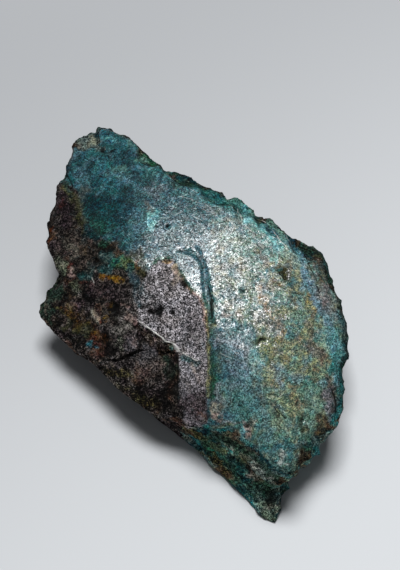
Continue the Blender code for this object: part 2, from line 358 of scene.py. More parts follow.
def colour(hexcode):
    """Turns a hex colour into Blender's linear values."""
    parts = [int(hexcode[i:i + 2], 16) / 255 for i in (0, 2, 4)]
    return [c / 12.92 if c <= 0.04045 else ((c + 0.055) / 1.055) ** 2.4 for c in parts]


MINERALS = {
    # name: (dark grains, light grains, share of light ones, fineness of the grain)
    "turquoise": ("122e34", "2f5d63", 0.5, 0.55),
    "deep": ("05161a", "14363b", 0.42, 0.55),
    "grey turquoise": ("22383f", "4e6d75", 0.5, 0.65),
    "teal": ("0e3033", "2b6060", 0.5, 0.6),
    "teal blue": ("15353f", "3a6874", 0.5, 0.65),
    "sea": ("1c4648", "45807d", 0.5, 0.65),
    "sky": ("417b82", "88bab8", 0.5, 0.6),
    "denim": ("2b424b", "668490", 0.5, 0.7),
    "lilac": ("44484d", "88878f", 0.5, 0.75),
    "leaf": ("3a5850", "6c8e80", 0.5, 0.8),
    "green": ("0b2319", "2d6149", 0.5, 0.65),
    "moss": ("07100d", "2c463a", 0.45, 0.55),
    "gold": ("475643", "7f7d56", 0.5, 0.85),
    "gold light": ("5a6350", "9f9670", 0.55, 0.85),
    "gold dust": ("0b0a07", "5c5534", 0.35, 0.8),
    "orange sand": ("3f463a", "87694a", 0.5, 0.6),
    "straw": ("3a3a26", "8d8756", 0.55, 0.8),
    "olive": ("12150c", "3f4027", 0.5, 0.5),
    "ochre": ("2e210d", "80622b", 0.55, 0.5),
    "orange": ("1e1108", "633c1e", 0.5, 0.6),
    "rust": ("130806", "4c2a1c", 0.5, 0.5),
    "brown": ("221a12", "5e4a37", 0.5, 0.6),
    "umber": ("070605", "463b2d", 0.48, 0.5),
    "clay": ("171310", "766860", 0.5, 0.5),
    "plum": ("030203", "53454b", 0.44, 0.5),
    "matrix": ("010101", "514c48", 0.4, 0.55),
    "fin": ("131115", "b2aeb3", 0.54, 1.0),
    "grey": ("100e0d", "767170", 0.5, 0.8),
    "stone grey": ("1c2827", "6a7772", 0.5, 0.7),
    "beige": ("3f4038", "76735f", 0.6, 0.5),
    "celadon": ("1a221a", "75806a", 0.5, 0.75),
    "bright ochre": ("37280f", "7e5f29", 0.6, 0.35),
    "chalk": ("54544c", "9c9b90", 0.6, 0.4),
    "quartz": ("302e2a", "8d877d", 0.5, 0.6),
    "pale": ("5c6664", "b0b8b4", 0.65, 0.4),
    "pink": ("4a3c3a", "a38d86", 0.6, 0.6),
    "sand": ("4f4640", "a3927c", 0.6, 0.6),
    "black": ("010101", "0b0a09", 0.4, 0.5),
}
print(len(MINERALS), "minerals")

# %% [markdown]
# ## Laying and dabbing
# Two ways of painting are enough. `lay` puts a mineral over a whole mask, as a wash. `dab` is one stroke
# along a path, and its edge is ragged because the points are moved by noise before the distance is
# measured. Nothing on a stone has a clean outline, so the noise has a wide part and a fine part.

# %% Laying and dabbing
coat = np.zeros((len(points), 8))  # a row holds dark colour, share, light colour, fineness


def lay(mineral, mask):
    """Lays a mineral over what is there, as far as the mask says."""
    dark, light, share, fineness = MINERALS[mineral]
    pair = np.array([*colour(dark), share, *colour(light), fineness])
    mask = np.broadcast_to(mask, len(points))
    coat[:] += (pair - coat) * mask[:, None]


def lay_all(where, rows):
    """Lays minerals over a part, each one where its pattern rises from low to high."""
    for mineral, strength, low, high, pattern in rows:
        lay(mineral, where * strength * smoothstep(low, high, pattern))


WANDER = ((4.5, 11, 2.0), (1.9, 21, 1.3))  # size, first seed and reach of the noise
wander = sum(
    reach * np.stack([unevenness(points, size, seed + axis) for axis in range(3)], 1)
    for size, seed, reach in WANDER
)


def dab(mineral, reach, strength, path, torn):
    """One stroke of a mineral, with a ragged edge. A path is seen from above, or given in space."""
    seen = (points + torn * wander)[:, :len(path[0])]
    distance = along(path, seen)[0] if len(path) > 1 else np.linalg.norm(seen - path[0], axis=1)
    level = 1.25 - distance / reach + 0.4 * ragged_fine
    reached = upward if len(path[0]) == 2 else 1.0
    lay(mineral, strength * smoothstep(0.0, 0.7, level) * np.maximum(reached, 0.25))


def dab_all(rows, torn=1.0):
    for mineral, reach, strength, path in rows:
        dab(mineral, reach, strength, path, torn)
    print(len(rows), "strokes")


print("points wander by up to", round(float(np.abs(wander).max()), 1), "mm")

# %% [markdown]
# ## The ground colours
# Before the strokes, the whole stone gets its ground: turquoise with deep and grey clouds on the face,
# gold and green over the right half, the grey fin, the dark matrix, and dark mixed rock on every broken
# side, so that the stone looks finished from any side.

# %% The ground
cloud = [unevenness(points, 13.0, 5, 3), unevenness(points, 9.0, 6, 3), unevenness(points, 5.0, 7, 3)]
x, y = points[:, 0], points[:, 1]
face = upward * (1 - smoothstep(0.6, 1.5, below + 0.35 * ragged_fine))
lay("turquoise", 1.0)
lay("deep", 0.6 * smoothstep(0.0, 0.5, cloud[0]))
lay("teal", 0.5 * smoothstep(0.1, 0.5, cloud[1]))
lay("grey turquoise", 0.6 * smoothstep(0.05, 0.45, cloud[2]))
lay("grey turquoise", 0.5 * smoothstep(45, 25, y + 8 * cloud[1]) * smoothstep(-32, -18, x))

right = smoothstep(6.5, 9.0, x + 0.8 * ragged_fine) * smoothstep(46, 30, y + x * 0.3)
lay("teal", 0.6 * right)
golden = smoothstep(12, 30, x + 9 * cloud[0]) * smoothstep(34, 22, y + 0.35 * x) * smoothstep(-62, -38, y)
lay("gold", 0.7 * golden * smoothstep(-0.45, 0.25, cloud[1] + 0.3))
lay("leaf", 0.45 * right * smoothstep(-8, -34, y + 8 * cloud[2]) * smoothstep(20, 36, x + 6 * cloud[0]))

broken = 1 - face
lay("deep", broken * 0.9)
lay_all(broken, [
    ("moss", 1.0, -0.1, 0.3, cloud[1]),
    ("umber", 1.0, 0.0, 0.35, cloud[0]),
    ("teal", 0.7, 0.15, 0.45, -cloud[2]),
    ("stone grey", 0.5, 0.2, 0.5, -cloud[1]),
    ("celadon", 0.45, 0.2, 0.5, unevenness(points, 2.6, 33, 3)),
])
crackle = 1 - smoothstep(0.03, 0.16, np.abs(unevenness(points, 3.4, 31, 3)))
lay("black", broken * 0.75 * crackle * smoothstep(-0.2, 0.2, cloud[2]))
print("ground laid; face share", round(float(face.mean()), 2))

# %% [markdown]
# ## The matrix and the fin
# Both follow their outlines from above, and lower down they wander, because a rock's layers do not run
# straight through it. Masks are numbers from 0 to 1, so a product means "and", a maximum means "or",
# and a strength says how much of what lies below is covered.

# %% The matrix and the fin
sunk = smoothstep(4.0, 14.0, below)  # deeper down, the minerals wander away from their outlines above
in_left += 7.0 * unevenness(points, 9.0, 41) * sunk
in_fin += (5.0 * unevenness(points, 6.0, 42) - 4.0) * sunk
seam_left = smoothstep(-1.5, -0.3, in_fin) * smoothstep(-1.5, -0.3, in_left)
vein_below = smoothstep(-0.35, 0.35, in_fin) * sunk
matrix = np.maximum.reduce([smoothstep(-0.5, 0.8, in_left), seam_left, vein_below])
lay("matrix", matrix)
lay_all(matrix, [
    ("plum", 0.6, 0.0, 0.4, cloud[2]),
    ("umber", 0.6, 0.05, 0.4, cloud[1]),
    ("black", 0.7, 0.1, 0.4, cloud[1] + cloud[2]),
    ("clay", 0.4, 0.15, 0.45, -cloud[2]),
    ("black", 0.7, 0.2, 0.4, unevenness(points, 1.8, 43, 3)),
    ("grey", 0.45, 0.25, 0.45, unevenness(points, 2.4, 44, 3)),
    ("rust", 0.5, 0.3, 0.55, cloud[0] - cloud[2]),
])
in_grain = smoothstep(-0.35, 0.35, in_fin) * (1 - smoothstep(6.0, 11.0, below + 3.0 * cloud[2]))
soft_left = smoothstep(-21.5, -15.0, x + 3.0 * cloud[2] + ragged_fine)  # the fin fades out to its left
lay("fin", in_grain * np.where(y > -6, soft_left, 1.0))
lay_all(in_grain, [
    ("lilac", 0.45, 0.1, 0.45, -cloud[2]),
    ("matrix", 0.5, 0.15, 0.5, cloud[1]),
    ("plum", 0.55, -30, -44, y + 5 * cloud[2]),
    ("clay", 0.35, 0.1, 0.4, cloud[2]),
])
lay("denim", 0.15 * in_grain * smoothstep(-17.5, -20.5, x + 2 * ragged_fine) * smoothstep(-6, 0, y))
beside_fin = matrix * smoothstep(-10.0, -0.5, in_fin + 4.0 * cloud[2])
beside_fin = beside_fin * smoothstep(-12.0, -9.0, y) * smoothstep(5.0, -2.0, y)
lay("grey", 0.6 * beside_fin * smoothstep(-12.0, -16.0, x))
print("matrix and fin laid")

# %% [markdown]
# ## Drifts over the gold side
# The gold side is a mixture in which no mineral has an outline. Each drift is noise that shows where it
# is high, with a size and a seed of its own, so that the drifts overlap without any order.

# %% Drifts over the gold side
golden_side = np.maximum(golden, 0.7 * right) * face
for mineral, size, seed, strength in (
    ("orange sand", 5.0, 51, 0.65), ("sea", 5.5, 52, 0.75), ("leaf", 6.5, 53, 0.65), ("denim", 4.5, 54, 0.6),
    ("brown", 3.4, 55, 0.5), ("gold light", 3.0, 56, 0.5), ("straw", 4.0, 57, 0.4),
):
    lay(mineral, golden_side * strength * smoothstep(0.12, 0.42, unevenness(points, size, seed, 3)))
print("drifts laid")

# %% [markdown]
# ## Bands along the crest
# Thin bands follow the upper edge, as the growth lines of a layered mineral do. A sine of the distance
# from that edge makes them, noise inside it bends them, and a patchy mask breaks them up.

# %% Bands along the crest
BAND_WIDTH = 2.3  # millimetres from one band to the next
CREST_LINE = [
    (-4.0, 47.5), (12.0, 40.0), (24.0, 32.0), (36.0, 23.0), (46.0, 12.0), (53.0, -2.0), (57.0, -20.0),
]
from_crest, along_crest = along(CREST_LINE)
near_crest = (1 - smoothstep(9.0, 20.0, from_crest)) * face * (1 - smoothstep(0.75, 0.95, along_crest))
bands = np.sin(from_crest * 2 * math.pi / BAND_WIDTH + 2.2 * ragged_wide + 1.2 * ragged_fine)
patchy = smoothstep(-0.25, 0.3, cloud[2] + 0.5 * cloud[1])
lay("sea", 0.4 * near_crest * smoothstep(0.1, 0.9, bands) * patchy)
lay("sky", 0.3 * near_crest * smoothstep(0.6, 1.0, bands) * patchy)
lay("deep", 0.45 * near_crest * smoothstep(0.2, 0.9, -bands) * patchy)
print("share of points in the bands:", round(float(near_crest.mean()), 2))

# %% [markdown]
# ## Lines and veins
# Thin strokes follow the lines that were cut before: the veined right edge, the groove, and the rim
# where the turquoise meets the fin. The rim is one path, shifted sideways for each of its colours. Dots
# and vugs are strokes with a single point, at the hollows pressed above.

# %% Lines and veins
dab("denim", 2.0, 0.75, VEIN, 0.6)
dab("teal blue", 1.1, 0.5, VEIN, 0.5)
dab("grey turquoise", 1.4, 0.6, GROOVE[3:], 0.25)
dab("deep", 0.7, 0.5, GROOVE[:5], 0.25)
RIM_LINE = [*FIN[5:13], (6.3, -16.9), (6.6, -20.0), (6.9, -26.2), (6.9, -33.2), (6.7, -41.3)]
RIM_COLOURS = (
    # mineral, reach, strength, shift across and up, the rim's points from and to, how torn
    ("green", 1.0, 0.55, (1.7, 0.4), (3, 13), 0.3),
    ("olive", 0.8, 0.5, (0.9, 0.0), (4, 13), 0.3),
    ("ochre", 0.45, 0.5, (0.6, 0.0), (6, 11), 0.3),
    ("green", 1.7, 0.4, (2.6, 0.0), (7, 13), 0.5),
    ("orange sand", 0.6, 0.9, (0.0, 0.0), (1, 8), 0.3),
    ("straw", 0.6, 0.65, (0.0, 0.0), (6, 13), 0.3),
    ("pink", 0.5, 0.8, (-0.4, 0.0), (3, 9), 0.3),
)
for mineral, reach, strength, (across, up), (first, last), torn in RIM_COLOURS:
    dab(mineral, reach, strength, [(px + across, py + up) for px, py in RIM_LINE[first:last]], torn)
dab_all([
    ("straw", 0.9, 0.9, [(8.8, -15.4), (9.6, -15.9)]),
    ("green", 0.8, 0.9, [(-14.3, 10.6), (-12.6, 12.2), (-10.2, 12.5), (-8.0, 12.6)]),
    ("ochre", 0.9, 0.9, [(-10.5, 10.9), (-7.8, 10.7)]),
    ("sand", 1.3, 0.9, [(-6.3, 8.5), (-5.0, 6.3), (-4.9, 3.8), (-6.0, 2.0)]),
    ("green", 0.9, 0.6, [(-3.6, 6.5), (-0.6, 1.4), (1.9, -1.3)]),
    ("umber", 1.2, 0.9, [(-3.6, 2.0), (-1.6, 0.8)]),
], torn=0.3)
dab("olive", 1.9, 1.0, [(35.2, 7.6), (37.4, 7.8), (37.2, 5.0)], 0.1)
dab("teal", 0.6, 0.7, [(33.8, 7.8), (35.4, 8.4)], 0.1)
dab("teal", 1.0, 0.7, [(-2.4, -26.0), (0.0, -27.2), (3.0, -29.0)], 0.3)
# Black dabs in the dots and vugs: painted shade in their hollows.
for name, spread in (("dark dot", 0.9), ("lower dot", 0.8), ("lowest dot", 0.7)):
    dab("black", spread, 1.0, [HOLLOWS[name][0]], 0.1)
dab("black", 0.5, 1.0, [(-3.2, 32.0)], 0.1)
for name, spread in (
    ("large vug", 1.9), ("flat vug", 1.6), ("small vug", 1.2), ("right vug", 1.1), ("brown pocket", 1.1),
):
    dab("black", spread, 0.85, [HOLLOWS[name][0]], 0.9)

# %% [markdown]
# ## Where the rubbing did not reach
# The groove is dull, and so are the hollow side below the tip and, half as much, the flank beside the
# groove. This field takes the polish away later and changes no colour.

# %% Where the rubbing did not reach
HOLLOW_SIDE = [(-38.0, 44.0), (-33.0, 33.0), (-28.0, 23.0)]
GROOVE_FLANK = [(12.5, 0.0), (14.0, -10.0), (16.5, -16.0), (20.0, -23.0)]
groove_distance, groove_share = along(GROOVE)
groove_distance *= 1 + 1.6 * (1 - smoothstep(0.25, 0.5, groove_share))  # narrower along its upper arc
dulled = 1 - smoothstep(1.05, 2.0, groove_distance + 0.2 * ragged_fine)
hollow_side = 1 - smoothstep(5.0, 14.0, along(HOLLOW_SIDE)[0] + 2.0 * ragged_wide)
dulled = np.maximum(dulled, 0.9 * hollow_side)
flank = 1 - smoothstep(2.0, 9.0, along(GROOVE_FLANK)[0] + 2.0 * ragged_wide)
dulled = np.maximum(dulled, 0.45 * flank)
print("share of points dulled:", round(float((dulled > 0.4).mean()), 2))

# %% [markdown]
# ## Strokes of colour
# Now the stone is painted part by part, as a painter blocks in a portrait. A row is one stroke: its
# mineral, how far it reaches from its path in millimetres, how strong it is, and the path itself. Rows
# are laid in order, so a later one covers an earlier one. The first part is the tip, with its grey
# patch, its green and blue clouds and the dark hollow below it, partly deep turquoise and partly
# painted shade where the face rolls away from the lamp.

# %% The tip
TIP = [
    ("stone grey", 2.4, 0.95, [(-45.5, 77)]),
    ("deep", 1.3, 0.7, [(-45, 73.5), (-43, 72)]),
    ("quartz", 1.2, 0.45, [(-47.5, 73.5), (-45.5, 70)]),
    ("stone grey", 2.2, 0.8, [(-45.5, 74), (-43.5, 71), (-41, 74.5), (-39.5, 69)]),
    ("beige", 1.4, 0.4, [(-41.5, 75), (-40, 71)]),
    ("beige", 1.8, 0.35, [(-42, 75.5), (-40.5, 72.5), (-40, 74.5)]),
    ("stone grey", 1.6, 0.6, [(-44.5, 74.5), (-45, 71)]),
    ("teal blue", 2.2, 0.5, [(-37.5, 75.5), (-35, 72), (-33, 73)]),
    ("sky", 0.9, 0.45, [(-36.5, 73.5), (-33.5, 74), (-31.5, 72)]),
    ("leaf", 1.2, 0.4, [(-26.5, 70.5), (-25, 67.5)]),
    ("black", 0.8, 0.7, [(-37.5, 67), (-38, 68.5)]),
    ("quartz", 0.6, 0.6, [(-36.5, 68)]),
    ("deep", 1.6, 0.6, [(-51, 64.5), (-51, 58)]),
    ("sea", 1.2, 0.4, [(-48.5, 62.5), (-49, 59.5), (-47, 57.5)]),
    ("leaf", 2, 0.3, [(-30.5, 54.5), (-27.5, 54)]),
    ("leaf", 1.6, 0.55, [(-21, 60.5), (-19.5, 59)]),
    ("green", 1.5, 0.7, [(-19, 62.5), (-17.5, 61), (-15.5, 58.5)]),
    ("denim", 1.6, 0.5, [(-26, 49.5), (-24.5, 47.5)]),
    ("black", 0.35, 0.9, [(-36.5, 60.5)]),
    ("black", 0.4, 0.9, [(-35.5, 52.5)]),
    ("black", 0.4, 0.9, [(-30, 47)]),
    ("black", 0.4, 0.9, [(-40, 58.5)]),
    ("black", 0.35, 0.8, [(-24, 54)]),
    ("deep", 2.6, 0.75, [(-26, 44.5), (-27, 40.5), (-25, 37)]),
    ("umber", 2.4, 0.6, [(-43.5, 47), (-44, 43.5), (-42.5, 40)]),
    ("moss", 1.4, 0.8, [(-53, 53), (-50.5, 48), (-47.5, 45)]),
    ("stone grey", 0.5, 0.5, [(-39.5, 46.5), (-38.5, 41.5)]),
    # Painted shade over deep turquoise: broad deep, moss and green strokes where the face rolls away from
    # the lamp.
    ("deep", 9, 0.75, [(-35, 37), (-32, 32)]),
    ("moss", 3.5, 0.6, [(-40.5, 39.5), (-39, 34), (-37.5, 29)]),
    ("deep", 4.5, 0.95, [(-40, 40), (-37, 35), (-36, 29.5), (-38.5, 26)]),
    ("green", 3, 0.35, [(-38, 32.5), (-36, 27)]),
    ("teal", 3, 0.6, [(-34, 36), (-33, 28.5)]),
    ("deep", 5, 0.5, [(-37, 38), (-34.5, 33), (-35.5, 27.5)]),
    ("green", 2.2, 0.35, [(-36, 29.5), (-33.5, 26.5)]),
    ("lilac", 2.5, 0.6, [(-16.5, 44), (-14, 41), (-12, 43.5)]),
    ("brown", 1.5, 0.6, [(-17, 37), (-16, 34)]),
    ("sky", 2.2, 0.75, [(-14, 33.5), (-15, 31), (-16, 27.5)]),
    ("sky", 1.1, 0.6, [(-17, 32.5), (-17, 29)]),
]

dab_all(TIP)

# %% [markdown]
# ## The left matrix
# The broken rock left of the face: a dark ground with rust, ochre and olive in it, pale patches, and a
# grey block near the ridge.

# %% The left matrix
LEFT_SIDE = [
    ("olive", 1.6, 0.75, [(-47, 44.5), (-45, 38.5), (-43.5, 31.5), (-43, 28.5)]),
    ("straw", 0.7, 0.4, [(-54, 50), (-51.5, 48), (-49, 45.5)]),
    ("plum", 3, 0.8, [(-53, 45), (-51.5, 39.5), (-50.5, 33.5)]),
    ("rust", 1, 0.7, [(-53, 44), (-52.5, 41)]),
    ("orange", 1.3, 0.8, [(-56.5, 30.5), (-55.5, 27), (-56.5, 24.5)]),
    ("chalk", 1, 0.5, [(-52, 24.5), (-49.5, 23.5), (-47, 21.5), (-45, 19), (-45.5, 16.5)]),
    ("plum", 2, 0.9, [(-54.5, 22.5), (-51.5, 21.5), (-49.5, 20)]),
    ("black", 0.9, 0.9, [(-50.5, 18.5), (-52, 23)]),
    ("celadon", 2.2, 0.45, [(-53, 15.5), (-51, 12.5), (-52, 11)]),
    ("celadon", 1.5, 0.45, [(-50, 14.5), (-50, 11)]),
    ("rust", 1.4, 0.9, [(-48, 16.5), (-47.5, 13.5), (-48, 12.5)]),
    ("pink", 1, 0.6, [(-47, 11), (-46, 9)]),
    ("clay", 1.6, 0.6, [(-42.5, 21.5), (-40.5, 22)]),
    ("brown", 1.2, 0.7, [(-40.5, 19.5), (-41.5, 17.5)]),
    ("deep", 1.4, 0.8, [(-43.5, 25.5), (-43, 22)]),
    ("black", 2, 0.85, [(-38.5, 15.5), (-36.5, 13.5), (-38, 17.5)]),
    ("quartz", 0.8, 0.9, [(-36.5, 17), (-35, 15.5)]),
    ("lilac", 1.2, 0.5, [(-38.5, 13), (-37.5, 12)]),
    ("clay", 1.3, 0.7, [(-42, 13), (-40.5, 12)]),
    ("teal", 2.2, 0.55, [(-43, 8.5), (-40, 9), (-38.5, 11)]),
    ("teal", 2, 0.55, [(-34, 10), (-32, 9), (-30, 10)]),
    ("olive", 0.9, 0.6, [(-33.5, 12.5), (-32, 12.5)]),
    ("deep", 2.4, 0.75, [(-27.5, 18.5), (-24.5, 16), (-21, 14)]),
    ("brown", 1.8, 0.75, [(-30.5, 18), (-28, 15.5)]),
    ("teal", 2.6, 0.6, [(-34, 15), (-30.5, 14), (-28, 12.5)]),
    ("black", 2.2, 0.85, [(-37, 19.5), (-34.5, 19), (-32, 17.5)]),
    ("green", 1.2, 0.4, [(-34.5, 21.5), (-32.5, 20.5)]),
    ("bright ochre", 1.2, 0.9, [(-34, 7), (-32, 6), (-30, 5.5), (-27.5, 5)]),
    ("clay", 1, 0.5, [(-25.5, 10.5), (-24, 8.5)]),
    ("green", 2.8, 0.7, [(-27.5, 12.5), (-24.5, 10.5), (-22, 9)]),
    ("olive", 2.4, 0.75, [(-22.5, 13.5), (-20, 13), (-18, 10), (-17.5, 6.5)]),
    ("straw", 0.9, 0.3, [(-27.5, 12), (-25, 10), (-23, 11.5)]),
    ("orange", 1.4, 0.75, [(-21, 11.5), (-20, 9.5)]),
    ("denim", 2.2, 0.35, [(-23, 8), (-22, 5.5), (-22, 2.5)]),
    ("rust", 1.6, 0.6, [(-50, 7.5), (-47, 6.5), (-42.5, 5.5)]),
    ("celadon", 1.2, 0.5, [(-46, 5.5), (-45, 3)]),
    ("grey", 1.3, 0.4, [(-45.5, 2.5), (-44, 0.5), (-47, -1)]),
    ("black", 2.2, 0.7, [(-52, 9)]),
    ("moss", 3, 0.8, [(-55, 7), (-52.5, 3.5), (-57, 4)]),
    ("umber", 1.2, 0.6, [(-49, 4), (-47.5, 1.5)]),
    ("clay", 1.6, 0.4, [(-37, 3), (-34.5, 1.5), (-33, -1)]),
    ("black", 2, 0.7, [(-41, 3), (-39.5, -0.5), (-42.5, -1)]),
    ("olive", 1.5, 0.6, [(-51, -4.5), (-48.5, -7.5), (-49, -9.5)]),
    ("green", 2, 0.6, [(-59.5, 0.5), (-59.5, -3)]),
    ("moss", 2.6, 0.8, [(-58, -1.5), (-56, -5.5)]),
    ("clay", 0.9, 0.6, [(-58.5, -0.5), (-57, -4)]),
    ("straw", 0.5, 0.5, [(-54.5, -1.5), (-52, -2.5)]),
    ("rust", 1.5, 0.6, [(-50, -3.5), (-47.5, -5.5)]),
    ("grey", 1.1, 0.4, [(-43.5, -3), (-41, -4)]),
    ("plum", 1.4, 0.9, [(-45, -2), (-43.5, -3)]),
    ("chalk", 1.7, 0.5, [(-38.5, -6.5), (-36.5, -9)]),
    ("sand", 1.2, 0.6, [(-38, -6.5), (-36, -8)]),
    ("orange", 0.9, 0.9, [(-35, -9)]),
    ("ochre", 1, 0.7, [(-32.5, -8.5)]),
    ("ochre", 1, 0.9, [(-30.5, -4.5)]),
    ("black", 0.9, 0.9, [(-28.5, -5)]),
    ("black", 2.2, 0.8, [(-30, -7.5), (-28.5, -7), (-27, -4)]),
    ("olive", 2, 0.7, [(-42, -10), (-40, -12.5), (-43.5, -11)]),
    ("orange", 1.7, 0.6, [(-38, -14), (-35.5, -15), (-33.5, -15.5)]),
    ("rust", 1.8, 0.6, [(-40, -16), (-36.5, -16.5)]),
    ("teal blue", 1.2, 0.9, [(-40, -17), (-38.5, -17)]),
    ("chalk", 2.6, 0.4, [(-27.5, -10), (-25.5, -13.5), (-28, -13.5)]),
    ("grey", 2.4, 0.6, [(-28, -10.5), (-26.5, -14), (-25.5, -12), (-29.5, -13)]),
    ("grey", 1.6, 0.5, [(-26.5, -9), (-23, -9)]),
    ("pink", 1, 0.6, [(-25, -9), (-23, -10.5), (-21.5, -11.5)]),
    ("black", 0.8, 0.9, [(-24, -11.5)]),
    ("black", 1, 0.9, [(-28, -15)]),
    ("plum", 2, 0.6, [(-24, -17.5), (-23.5, -19.5)]),
    ("plum", 3, 0.5, [(-38.5, 3), (-33.5, 1), (-28, 0.5)]),
    ("denim", 1, 0.25, [(-22, -0.5), (-21, -3.5)]),
    ("pink", 0.9, 0.5, [(-25.5, -4), (-23, -5.5)]),
]

dab_all(LEFT_SIDE)

# %% [markdown]
# ## The lower left facet
# The dark facet below the ridge: brown along the ridge, grey above, gold dust and black lower down, and
# a few grains of quartz.

# %% The lower left facet
FACET = [
    ("brown", 1.1, 0.6, [(-18, -14.5), (-15.5, -17), (-13, -19), (-9.5, -20.5), (-7, -22)]),
    ("sand", 0.7, 0.4, [(-15, -18), (-13, -19)]),
    ("quartz", 0.7, 0.7, [(-19, -16.5)]),
    ("pink", 0.8, 0.7, [(-21.5, -18), (-21, -20)]),
    ("celadon", 1.6, 0.5, [(-28, -17.5), (-26.5, -19.5)]),
    ("black", 1.7, 0.9, [(-32.5, -19.5), (-30.5, -21.5)]),
    ("black", 0.9, 0.8, [(-32, -18.5), (-28, -20)]),
    ("quartz", 0.6, 0.6, [(-11, -22.5), (-10, -24.5), (-10, -27)]),
    ("quartz", 0.5, 0.45, [(-10, -27.5), (-10.5, -30)]),
    ("clay", 1.2, 0.5, [(-12.5, -27), (-11.5, -30.5)]),
    ("rust", 0.7, 0.6, [(-10, -30.5), (-9, -32.5)]),
    ("moss", 2.2, 0.8, [(-8, -23.5), (-7.5, -27.5), (-6.5, -31)]),
    ("black", 1.6, 0.7, [(-7.5, -32.5), (-5.5, -35), (-7, -37)]),
    ("gold dust", 1.7, 0.75, [(-33, -26.5), (-30, -28.5), (-28, -28), (-25, -29)]),
    ("gold dust", 1.8, 0.75, [(-22, -36.5), (-19.5, -38), (-16.5, -40), (-13.5, -41)]),
    ("gold dust", 1.2, 0.65, [(-27.5, -33), (-24, -34.5)]),
    ("grey", 2.2, 0.35, [(-33.5, -25), (-31.5, -23.5)]),
    ("grey", 2, 0.4, [(-15.5, -24.5), (-13.5, -27), (-18, -24.5)]),
    ("rust", 1, 0.25, [(-18.5, -28.5), (-16.5, -29)]),
    ("grey", 6, 0.35, [(-25, -21.5), (-18, -24.5), (-13, -30.5)]),
    ("lilac", 3, 0.25, [(-22, -20), (-15.5, -22)]),
    ("quartz", 0.6, 0.5, [(-25, -26), (-22.5, -28.5), (-23, -31.5)]),
    ("black", 1.5, 0.8, [(-20.5, -35), (-17.5, -36)]),
    ("black", 2.4, 0.75, [(-11.5, -41.5), (-9.5, -39), (-6.5, -40), (-7.5, -43)]),
    ("grey", 1.2, 0.4, [(-27, -32.5), (-25, -33.5)]),
]

dab_all(FACET)

# %% [markdown]
# ## Below the ridge
# The lower end of the fin, right of the facet, where plum, lilac and rust come into its grey.

# %% Below the ridge
LOWER_FIN = [
    ("plum", 3, 0.35, [(-10, 5.5), (-7, 0.5)]),
    ("plum", 3.5, 0.3, [(-1, -5.5), (2, -11.5), (2.5, -18.5)]),
    ("sand", 1.1, 0.5, [(0, -29.5), (1.5, -30.5)]),
    ("clay", 1.5, 0.45, [(-2.5, -33.5), (-1, -36.5)]),
    ("lilac", 2, 0.4, [(-1.5, -30.5), (-2.5, -37)]),
    ("pink", 1, 0.4, [(2.5, -32.5), (4, -34.5)]),
    ("plum", 2.4, 0.7, [(-2.5, -41), (1, -40.5), (5, -42.5)]),
    ("plum", 2, 0.7, [(0, -44.5), (5.5, -45.5)]),
    ("quartz", 0.6, 0.7, [(0.5, -48), (3.5, -48.5)]),
    ("rust", 0.9, 0.7, [(2.5, -46), (5, -47.5)]),
]

dab_all(LOWER_FIN)

# %% [markdown]
# ## Right of the seam
# The lower middle of the face: lilac and sand beside the seam, then blues and sea green down to the
# lower tip, with a few grains of quartz and pink.

# %% Right of the seam
SEAM_SIDE = [
    ("lilac", 2, 0.7, [(10.5, -37), (13.5, -37.5)]),
    ("sky", 0.9, 0.6, [(13, -39), (14.5, -40)]),
    ("sky", 0.6, 0.45, [(17, -41.5), (18, -40)]),
    ("lilac", 1.8, 0.6, [(10.5, -39.5), (10, -43), (12, -44)]),
    ("sand", 1.5, 0.6, [(9, -45), (11, -46.5), (10, -47.5)]),
    ("ochre", 0.7, 0.8, [(11.5, -46.5)]),
    ("pink", 1, 0.5, [(9, -46.5), (12, -48.5)]),
    ("denim", 3, 0.5, [(17.5, -37.5), (20, -39.5)]),
    ("teal blue", 3.5, 0.6, [(20.5, -42), (22.5, -47), (19, -47.5)]),
    ("teal blue", 3, 0.5, [(17.5, -47), (13.5, -46)]),
    ("lilac", 0.8, 0.6, [(13.5, -50), (17.5, -51), (19.5, -51.5)]),
    ("black", 0.7, 0.8, [(21.5, -52.5)]),
    ("quartz", 0.7, 0.9, [(23, -51), (23.5, -52.5)]),
    ("pink", 1, 0.7, [(20.5, -52.5), (22, -55)]),
    ("sky", 0.9, 0.7, [(24.5, -48.5), (25.5, -52)]),
    ("sky", 0.8, 0.6, [(19, -54), (21, -56.5)]),
    ("sea", 3, 0.4, [(27, -54), (31.5, -62), (37.5, -66.5)]),
    ("teal blue", 3, 0.6, [(30, -60), (34.5, -61.5), (38, -60.5)]),
    ("quartz", 1, 0.6, [(33, -63.5), (34, -65)]),
    ("leaf", 1.2, 0.6, [(30, -58), (28.5, -59)]),
]

dab_all(SEAM_SIDE)

# %% [markdown]
# ## The gold and green side
# Strokes of gold, leaf green and orange sand over the drifts, with clay, plum and umber toward the edge.

